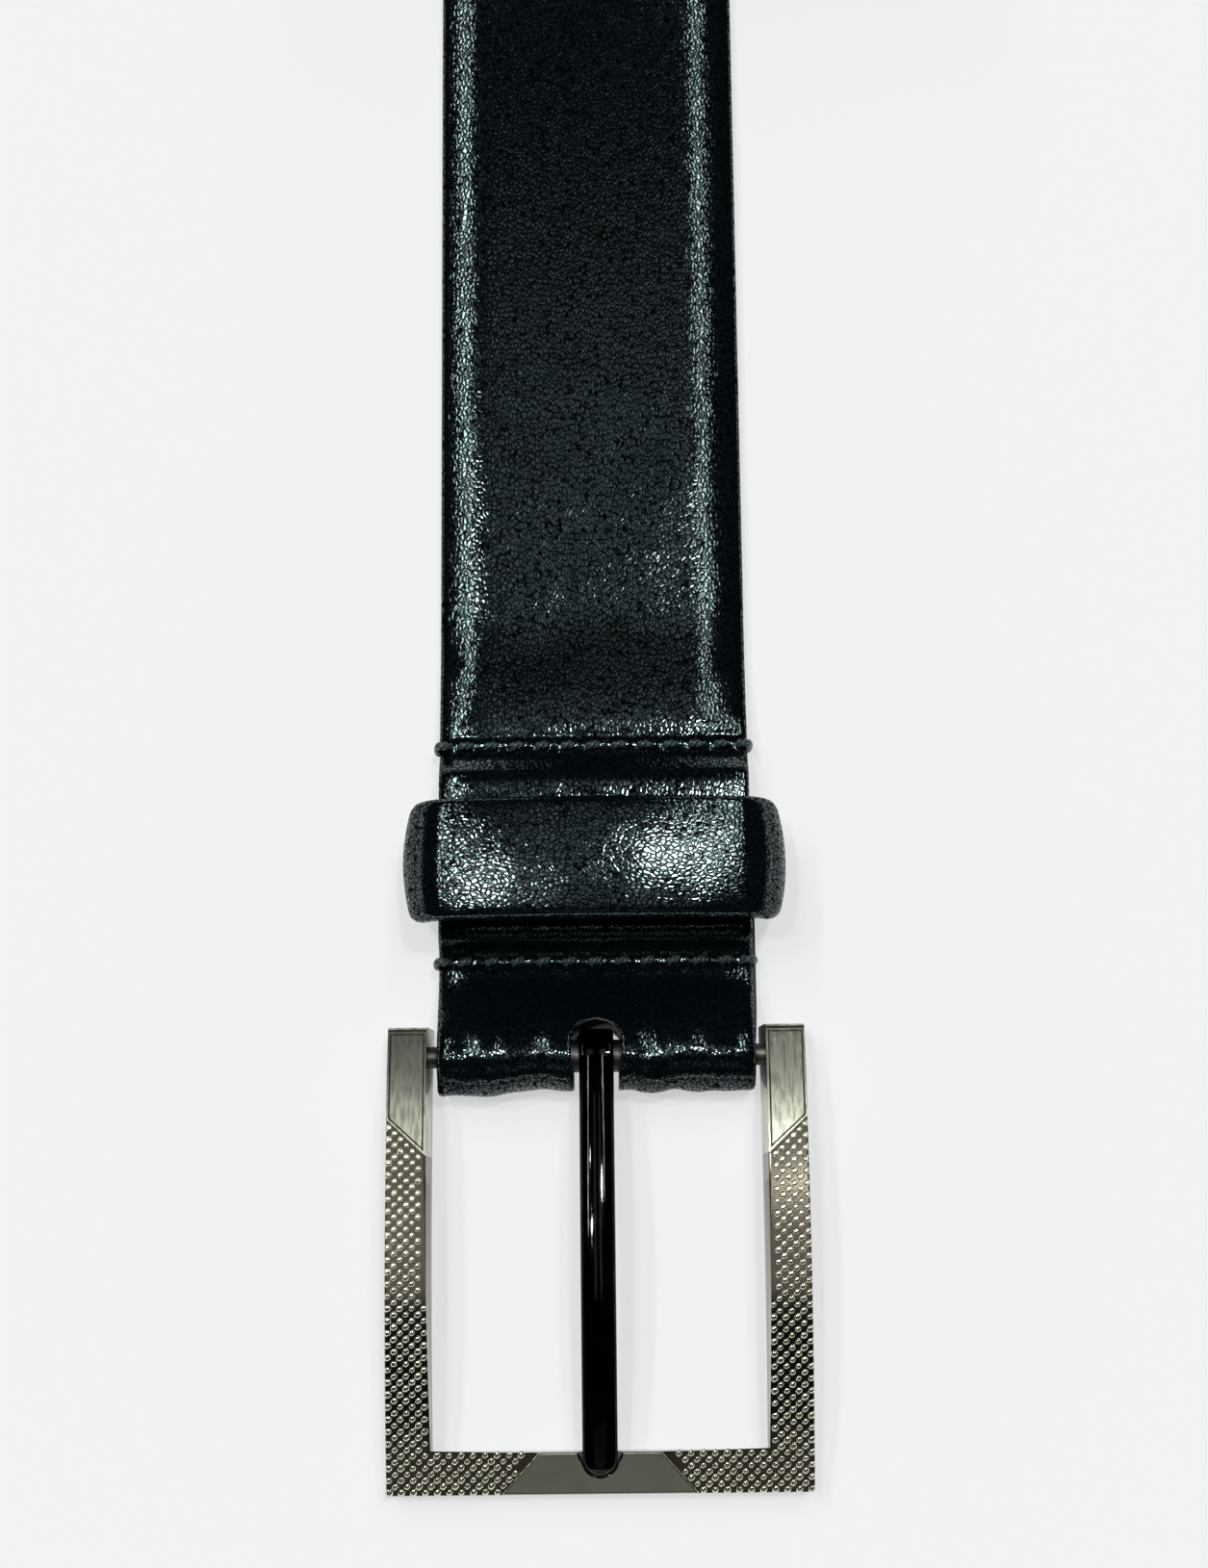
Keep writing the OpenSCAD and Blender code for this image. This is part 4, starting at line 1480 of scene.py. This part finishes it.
@dataclass
class Buckle:
    """The U-shaped frame: knurled ground, smooth plates and the bar."""

    width: float = 46.0
    front: float = 46.9
    rear: float = 3.3
    thick: float = 3.6
    front_w: float = 4.5
    arm_in: float = 18.15
    slope_rear: float = 0.6
    slope_front: float = 0.25
    ground: float = 0.25
    border: float = 0.22
    border_slope: float = 0.18
    border_h: float = 0.09
    outer_bevel: float = 0.55
    inner_bevel: float = 0.14
    ground_bevel: float = 0.22
    centre_bevel: float = 0.24
    slice_len: float = 0.8
    plate_out: float = -7.0
    plate_in: float = -11.0
    centre_in: float = 6.6
    centre_out: float = 10.7
    corner_r: float = 0.5
    seat_r: float = 2.3
    seat_y: float = -43.2
    seat_depth: float = 1.0
    pip_pitch: float = 1.29
    pip_r: float = 0.42
    pip_h: float = 0.27
    pip_sink: float = 0.05
    pip_edge: float = 0.36
    pip_clear: float = 0.45

    def __post_init__(self) -> None:
        """Works out the arch."""
        self.arch = Arch.through((0.0, BAR_Z), ARCH_R, (-self.front, 0.0), ARCH_R - self.thick / 2)
        self.front_in = self.front_w - self.front

    def inner_x(self, y: float, top: bool) -> float:
        """Works out the place of an arm's inner side, which leans back towards its top.

        Args:
            y: place along the arm.
            top: whether the upper edge is meant.

        Returns:
            Its distance from the belt's middle.
        """
        share = (y - self.front_in) / (self.rear - self.front_in)
        lean = self.slope_front + (self.slope_rear - self.slope_front) * share
        return self.arm_in + (lean if top else 0.0)

    def block(self, top: Plan, low: Plan, heights: tuple[float, float], bevels: dict[float, Sequence[int]],
              border: float = 0.0) -> bmesh.types.BMesh:
        """Makes a closed flat block between two outlines, sliced so that it can be bent.

        Args:
            top: upper outline.
            low: lower outline with as many points.
            heights: lower and upper rise above the arch's middle.
            bevels: width of the bevel and the upper outline's sides that have it.
            border: width of a raised border round the top, or nought.

        Returns:
            The mesh.
        """
        work = bmesh.new()
        up = [work.verts.new((x, y, heights[1])) for x, y in top]
        down = [work.verts.new((x, y, heights[0])) for x, y in low]
        count = len(up)
        work.faces.new(up)
        work.faces.new(list(reversed(down)))
        sides = {}
        for i in range(count):
            j = (i + 1) % count
            work.faces.new((up[i], down[i], down[j], up[j]))
            sides[i] = work.edges.get((up[i], up[j]))
        for width, which in bevels.items():
            edges = [sides[i] for i in which if sides[i].is_valid]
            bmesh.ops.bevel(work, geom=edges, offset=width, segments=3, profile=0.5, affect="EDGES",
                            clamp_overlap=True)
        bmesh.ops.recalc_face_normals(work, faces=work.faces)
        if border:
            flat = [max((f for f in work.faces if f.normal.z > 0.95), key=lambda f: f.calc_area())]
            bmesh.ops.inset_region(work, faces=flat, thickness=border, depth=0.0, use_even_offset=True)
            bmesh.ops.inset_region(work, faces=flat, thickness=self.border_slope, depth=-self.border_h,
                                   use_even_offset=True)
        for y in np.arange(self.slice_len - self.front, self.rear, self.slice_len):
            bmesh.ops.bisect_plane(work, geom=[*work.verts, *work.edges, *work.faces],
                                   plane_co=(0, float(y), 0), plane_no=(0, 1, 0))
        return work

    def bend(self, work: bmesh.types.BMesh) -> bmesh.types.BMesh:
        """Lifts a flat mesh on to the arch.

        Args:
            work: the mesh.

        Returns:
            The same mesh, bent.
        """
        for vert in work.verts:
            vert.co.z = self.arch.z(vert.co.y, vert.co.z)
        return work

    def _plate(self, side: int) -> bmesh.types.BMesh:
        """Makes the end plate of one arm.

        Args:
            side: -1 for the left arm and 1 for the right.

        Returns:
            The flat mesh.
        """
        half = self.width / 2

        def plan(top: bool) -> Plan:
            """Outline of the upper or the lower side."""
            return [(side * half, self.rear), (side * self.inner_x(self.rear, top), self.rear),
                    (side * self.inner_x(self.plate_in, top), self.plate_in), (side * half, self.plate_out)]

        rise = self.border_h + 0.02
        return self.block(plan(True), plan(False), (-self.thick / 2, self.thick / 2 + rise),
                          {self.outer_bevel: (0,), self.inner_bevel: (1, 3)}, self.border)

    def _ground(self, side: int) -> bmesh.types.BMesh:
        """Makes the ground of one arm and of its part of the front bar, without the knurls.

        Args:
            side: -1 for the left arm and 1 for the right.

        Returns:
            The flat mesh.
        """
        half, r = self.width / 2, self.corner_r

        def plan(top: bool) -> Plan:
            """Works out one outline.

            Args:
                top: whether the upper side is meant.

            Returns:
                The outline.
            """
            points = [(half, self.plate_out), (self.inner_x(self.plate_in, top), self.plate_in),
                      (self.inner_x(self.front_in, top), self.front_in), (self.centre_in, self.front_in),
                      (self.centre_out, -self.front), *arc((half - r, r - self.front), r, -90, 0, 5)]
            return [(side * x, y) for x, y in points]

        return self.block(plan(True), plan(False), (-self.thick / 2, self.thick / 2 - self.ground),
                          {self.ground_bevel: (1, 2, 4, 5, 6, 7, 8, 9)})

    def _centre(self) -> tuple[bmesh.types.BMesh, bmesh.types.BMesh]:
        """Makes the centre of the front bar, cut at the floor of the prong's seat.

        Returns:
            The plate with the seat and the core under it, as flat meshes.
        """
        floor = self.thick / 2 - self.seat_depth
        inner, outer, y, r = self.centre_in, self.centre_out, self.front_in, self.seat_r
        seat = [(r, y), *arc((0.0, self.seat_y), r, 0, -180, 17), (-r, y)]
        front = [(-inner, y), (-outer, -self.front), (outer, -self.front)]
        top, low = [(inner, y), *seat, *front], [(inner, y), *front]
        return (self.block(top, top, (floor, self.thick / 2), {self.centre_bevel: range(len(top))}),
                self.block(low, low, (-self.thick / 2, floor), {}))

    def pip_places(self) -> list[tuple[float, float]]:
        """Works out the places of the knurls: a slanting grid over the ground.

        Returns:
            x and y of each.
        """
        half, step = self.width / 2, self.pip_pitch / 2
        slope = (self.plate_out - self.plate_in) / (half - self.arm_in)
        made = []
        for row in range(int((self.front + self.plate_out) / step) + 2):
            y = self.pip_edge - self.front + row * step
            for column in range(row % 2, int(half / step) + 1, 2):
                x = half - self.pip_edge - column * step
                slant = self.plate_in + (x - self.arm_in) * slope
                share = (self.front_in - y) / self.front_w
                centre = self.centre_in + (self.centre_out - self.centre_in) * share
                on_arm = y > self.front_in
                least = self.inner_x(y, True) + 0.25 if on_arm else centre + self.pip_clear
                if x >= least and y <= slant - self.pip_clear:
                    made += [(x, y), (-x, y)]
        return made

    def pip_kit(self) -> Kit:
        """Builds the node tree that sets a knurl on every point and bends them along the arch.

        Returns:
            The tree.
        """
        labels = ("Radius", "Height", "Rise", "Arch Radius", "Arch Y", "Arch Z")
        kit = Kit("knurls", labels, ("Seed",))
        radius, height, rise, arch_r, arch_y, arch_z = (kit.take(label) for label in labels)
        foot = kit.get("GeometryNodeMeshCone", 0, {"fill_type": "NONE"}, {
            "Vertices": 10, "Side Segments": 4, "Radius Top": 0.0, "Radius Bottom": radius, "Depth": height})
        x, y, z = kit.split(kit.get("GeometryNodeInputPosition"))
        share = (x * x + y * y).sqrt() / radius
        domed = kit.reshaped(foot, x, y, height * (1.0 - share ** 4.0))
        swing = kit.get("FunctionNodeRandomValue", 1, None, {2: 0.85, 3: 1.1, "Seed": kit.take("Seed")})
        placed = kit.get("GeometryNodeInstanceOnPoints", 0, None, {
            "Points": kit.take("Geometry"), "Instance": domed, "Rotation": (0.0, 0.0, math.radians(-45)),
            "Scale": kit.combine(swing * 0.95, swing * 1.1, swing)})
        real = kit.get("GeometryNodeRealizeInstances", 0, None, {0: placed})
        out, along = arch_r + rise + z, y - arch_y
        kit.close(kit.reshaped(real, x, y, arch_z + (out * out - along * along).sqrt()))
        return kit

    def make_knurls(self) -> bpy.types.Object:
        """Makes the knurls.

        Returns:
            The knurls.
        """
        values = {"Radius": self.pip_r * MM, "Height": self.pip_h * MM,
                  "Rise": (self.thick / 2 - self.ground - self.pip_sink) * MM,
                  "Arch Radius": self.arch.radius * MM, "Arch Y": BAR_Y + self.arch.mid_y * MM,
                  "Arch Z": self.arch.mid_z * MM, "Seed": 5, "Material": PIP.material()}
        places = [(x * MM, BAR_Y + y * MM, 0.0) for x, y in self.pip_places()]
        return harvest(places, self.pip_kit(), values, "knurls", "buckle")

    def make(self) -> list[bpy.types.Object]:
        """Makes the buckle's pieces.

        Returns:
            The pieces.
        """
        blocks = []
        for side in Side:
            name = side.name.lower()
            blocks += [("end_plate_" + name, self._plate(side.value), PLATE),
                       ("knurl_ground_" + name, self._ground(side.value), SHADED_GROUND)]
        upper, lower = self._centre()
        blocks += [("centre_plate", upper, SMOOTH), ("front_bar_core", lower, SMOOTH)]
        made = [settle(name, self.bend(work), (finish,), "buckle", ("buckle_frame",), sharp=12)
                for name, work, finish in blocks]
        wear("buckle_bar", SHADED_BAR)
        return [*made, self.make_knurls()]


@dataclass
class Prong:
    """The prong: an arched pin with an eye round the bar."""

    width: float = 3.8
    thick: float = 2.0
    tip_thick: float = 1.4
    eye_in: float = 1.86
    eye_out: float = 3.01
    tip_y: float = -44.9
    seat_z: float = 3.754
    clear: float = 0.02
    bevel_len: float = 0.7
    bevel_drop: float = 0.55
    past_tip: float = 1.0
    sink: float = 0.12
    squareness: float = 2.4
    eye_r: float = 0.45

    def make(self) -> bpy.types.Object:
        """Makes the prong.

        Returns:
            The prong.
        """
        work = bmesh.new()
        self._pin(work)
        self._eye(work)
        return settle("pin", work, (BLACK_NICKEL,), "prong", ("prong",), sharp=38)

    def _pin(self, work: bmesh.types.BMesh) -> None:
        """Adds the arched pin.

        Args:
            work: the mesh to add to.
        """
        end = self.tip_y - self.past_tip
        seat, out_z = self.seat_z + self.clear, BAR_Z + self.eye_out
        low = Arch.through((0.0, out_z - self.thick), ARCH_R, (end, seat - self.sink), ARCH_R)
        top = Arch.through((0.0, out_z), ARCH_R, (end, seat + self.tip_thick), ARCH_R)
        half, power = self.width / 2, 2 / self.squareness
        tip_mid = self.tip_y + half
        ys = list(np.arange(0.0, tip_mid, -1.0))
        ys += [tip_mid - half * math.sin(a) for a in np.radians(np.linspace(0, 88, 20))]
        rings = []
        for y in ys:
            wide = math.sqrt(max(half ** 2 - max(tip_mid - y, 0.0) ** 2, 0.0))
            z0, z1 = low.z(y, 0.0), top.z(y, 0.0)
            z1 -= self.bevel_drop * max(self.tip_y + self.bevel_len - y, 0.0) / self.bevel_len
            mid, tall = (z0 + z1) / 2, (z1 - z0) / 2
            ring = []
            for turn in np.radians(np.arange(0, 360, 12)):
                c, s = math.cos(turn), math.sin(turn)
                ring.append(work.verts.new((wide * math.copysign(abs(c) ** power, c), y,
                                            mid + tall * math.copysign(abs(s) ** power, s))))
            rings.append(ring)
        bridge(work, rings)
        work.faces.new(rings[0])
        work.faces.new(rings[-1])

    def _eye(self, work: bmesh.types.BMesh) -> None:
        """Adds the eye round the bar.

        Args:
            work: the mesh to add to.
        """
        half, r = self.width / 2, self.eye_r
        outline = [(-half, self.eye_in), (half, self.eye_in), *arc((half - r, self.eye_out - r), r, 0, 90, 6),
                   *arc((r - half, self.eye_out - r), r, 90, 180, 6)]
        rings = [[work.verts.new((x, out * math.cos(turn), BAR_Z + out * math.sin(turn)))
                  for x, out in outline] for turn in np.radians(np.arange(0, 360, 7.5))]
        bridge(work, [*rings, rings[0]])


# Studio


@dataclass(frozen=True)
class Band:
    """A band of light in the studio's sky, in degrees from straight up, towards +x and towards +y."""

    across: tuple[float, float]
    along: tuple[float, float]
    colour: Colour
    strength: float
    soft: float = 4.0


@dataclass(frozen=True)
class Lamp:
    """A small round lamp in the studio's sky, in degrees from straight up."""

    across: float
    along: float
    radius: float
    strength: float


@dataclass
class Studio:
    """Camera, floor and light."""

    aim: tuple[float, float] = (1.16, 31.6)
    distance: float = 290.7
    elevation: float = 78.18
    yaw: float = -0.22
    roll: float = -0.83
    lens: float = 58.1
    film: float = 36.0
    floor_half: float = 4.0
    floor_z: float = -0.0001
    floor_glow: float = 0.565
    base: float = 0.03
    rim: Colour = (2.0, 2.06, 2.08)
    bands: tuple[Band, ...] = (
        Band((-7.0, -2.8), (-8.0, 24.0), (1.0, 1.0, 0.98), 1.1, 1.5),
        Band((2.8, 7.0), (-8.0, 24.0), (1.0, 1.0, 0.98), 1.2, 1.5),
        Band((-28.5, -25.5), (2.0, 46.0), (0.96, 1.0, 0.98), 26.0, 1.0),
        Band((15.0, 18.5), (8.0, 46.0), (0.96, 1.0, 0.98), 17.0, 1.0),
        Band((-12.0, 12.0), (-50.0, -30.0), (1.0, 1.0, 0.96), 0.25),
    )
    lamps: tuple[Lamp, ...] = (
        Lamp(9.2, 10.0, 2.8, 170.0),
        Lamp(-13.5, 3.0, 1.8, 290.0),
        Lamp(-17.5, 14.5, 1.3, 230.0),
    )

    def make_camera(self) -> None:
        """Places the camera from its aim, its distance and its angles."""
        e, a, r = (math.radians(v) for v in (self.elevation, self.yaw, self.roll))
        ahead = Vector((math.sin(a) * math.cos(e), math.cos(a) * math.cos(e), -math.sin(e)))
        right = Vector((math.cos(a), -math.sin(a), 0.0))
        up = right.cross(ahead)
        turned = math.cos(r) * right + math.sin(r) * up
        raised = math.cos(r) * up - math.sin(r) * right
        camera = bpy.data.objects.new("camera", bpy.data.cameras.new("camera"))
        camera.data.lens = self.lens
        camera.data.sensor_width = self.film
        camera.data.clip_start, camera.data.clip_end = 0.01, 20.0
        aim = Vector((self.aim[0] * MM, BAR_Y + self.aim[1] * MM, 0.0))
        turn = Matrix((turned, raised, -ahead)).transposed().to_4x4()
        camera.matrix_world = Matrix.Translation(aim - ahead * self.distance * MM) @ turn
        bpy.context.scene.collection.objects.link(camera)
        bpy.context.scene.camera = camera

    def make_floor(self) -> None:
        """Lays the floor."""
        mesh = bpy.data.meshes.new("floor")
        r, z = self.floor_half, self.floor_z
        mesh.from_pydata([(-r, -r, z), (r, -r, z), (r, r, z), (-r, r, z)], [], [(0, 1, 2, 3)])
        floor = bpy.data.objects.new("floor", mesh)
        bpy.context.scene.collection.objects.link(floor)
        made = bpy.data.materials.new("floor")
        made.use_nodes = True
        shader = made.node_tree.nodes["Principled BSDF"]
        for label, value in {"Base Color": rgba((0.3,) * 3), "Roughness": 1.0, "Specular IOR Level": 0.0,
                             "Emission Color": rgba((0.985, 1.0, 1.0)),
                             "Emission Strength": self.floor_glow}.items():
            shader.inputs[label].default_value = value
        mesh.materials.append(made)
        floor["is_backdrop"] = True

    @staticmethod
    def _within(value: Field, ends: tuple[float, float], soft: float) -> Field:
        """Masks the stretch of a value between two ends.

        Args:
            value: the value.
            ends: where the stretch starts and ends.
            soft: how far each end fades on either side of it.

        Returns:
            1 inside and 0 outside.
        """
        low, high = ends
        return value.ramp(low - soft, low + soft) * (1.0 - value.ramp(high - soft, high + soft))

    def make_sky(self) -> None:
        """Fills the studio's sky with a dim base, a pale horizon, the bands of light and the lamps."""
        world = bpy.data.worlds.new("studio")
        world.use_nodes = True
        world.node_tree.nodes.clear()
        nodes = Nodes(world.node_tree)
        x, y, z = nodes.split(nodes.get("ShaderNodeTexCoord", "Generated"))
        across, along = (nodes.math("ARCTAN2", part, z) * (180 / math.pi) for part in (x, y))
        base = rgba((self.base * 0.96, self.base, self.base * 1.02))
        light: Any = nodes.mix((1.0 - z.abs()).ramp(0.7, 1.0), base, rgba(self.rim))
        for band in self.bands:
            mask = self._within(across, band.across, band.soft / 2)
            mask = mask * self._within(along, band.along, band.soft)
            light = nodes.mix(mask, light, rgba(tuple(c * band.strength for c in band.colour)))
        for lamp in self.lamps:
            aside = (across - lamp.across) / lamp.radius
            ahead = (along - lamp.along) / lamp.radius
            disc = 1.0 - (aside * aside + ahead * ahead).ramp(0.6, 1.0)
            light = nodes.mix(disc, light, rgba((lamp.strength,) * 3))
        background = nodes.get("ShaderNodeBackground", 0, None, {"Color": light, "Strength": 1.0})
        nodes.add("ShaderNodeOutputWorld", None, {"Surface": background})
        bpy.context.scene.world = world

    def make(self) -> None:
        """Makes the studio."""
        self.make_camera()
        self.make_floor()
        self.make_sky()
        bpy.context.scene.view_settings.view_transform = "Standard"


def corners(box: Sequence[Sequence[float]]) -> list[list[float]]:
    """A box's two corners as plain lists."""
    return [[float(v) for v in corner] for corner in box]


def main() -> None:
    """Builds the belt's pieces and the studio."""
    logging.basicConfig(level=logging.INFO, format="%(name)s: %(message)s")
    packed = corners(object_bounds())
    Studio().make()
    strap = Strap()
    made = strap.make()
    made.append(StitchRow("front_stitches", strap.sizes.front_row, 14.0, 3).make("front_row_thread"))
    made.append(StitchRow("rear_stitches", strap.sizes.rear_row, 5.0, 8).make("rear_row_thread"))
    made.append(Keeper().make())
    made += Buckle().make()
    made.append(Prong().make())
    for piece in made:
        LOG.info("%s: %d faces", piece.name, len(piece.data.polygons))
    {"packed": packed, "visual": corners(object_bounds())}


if __name__ == "__main__":
    main()
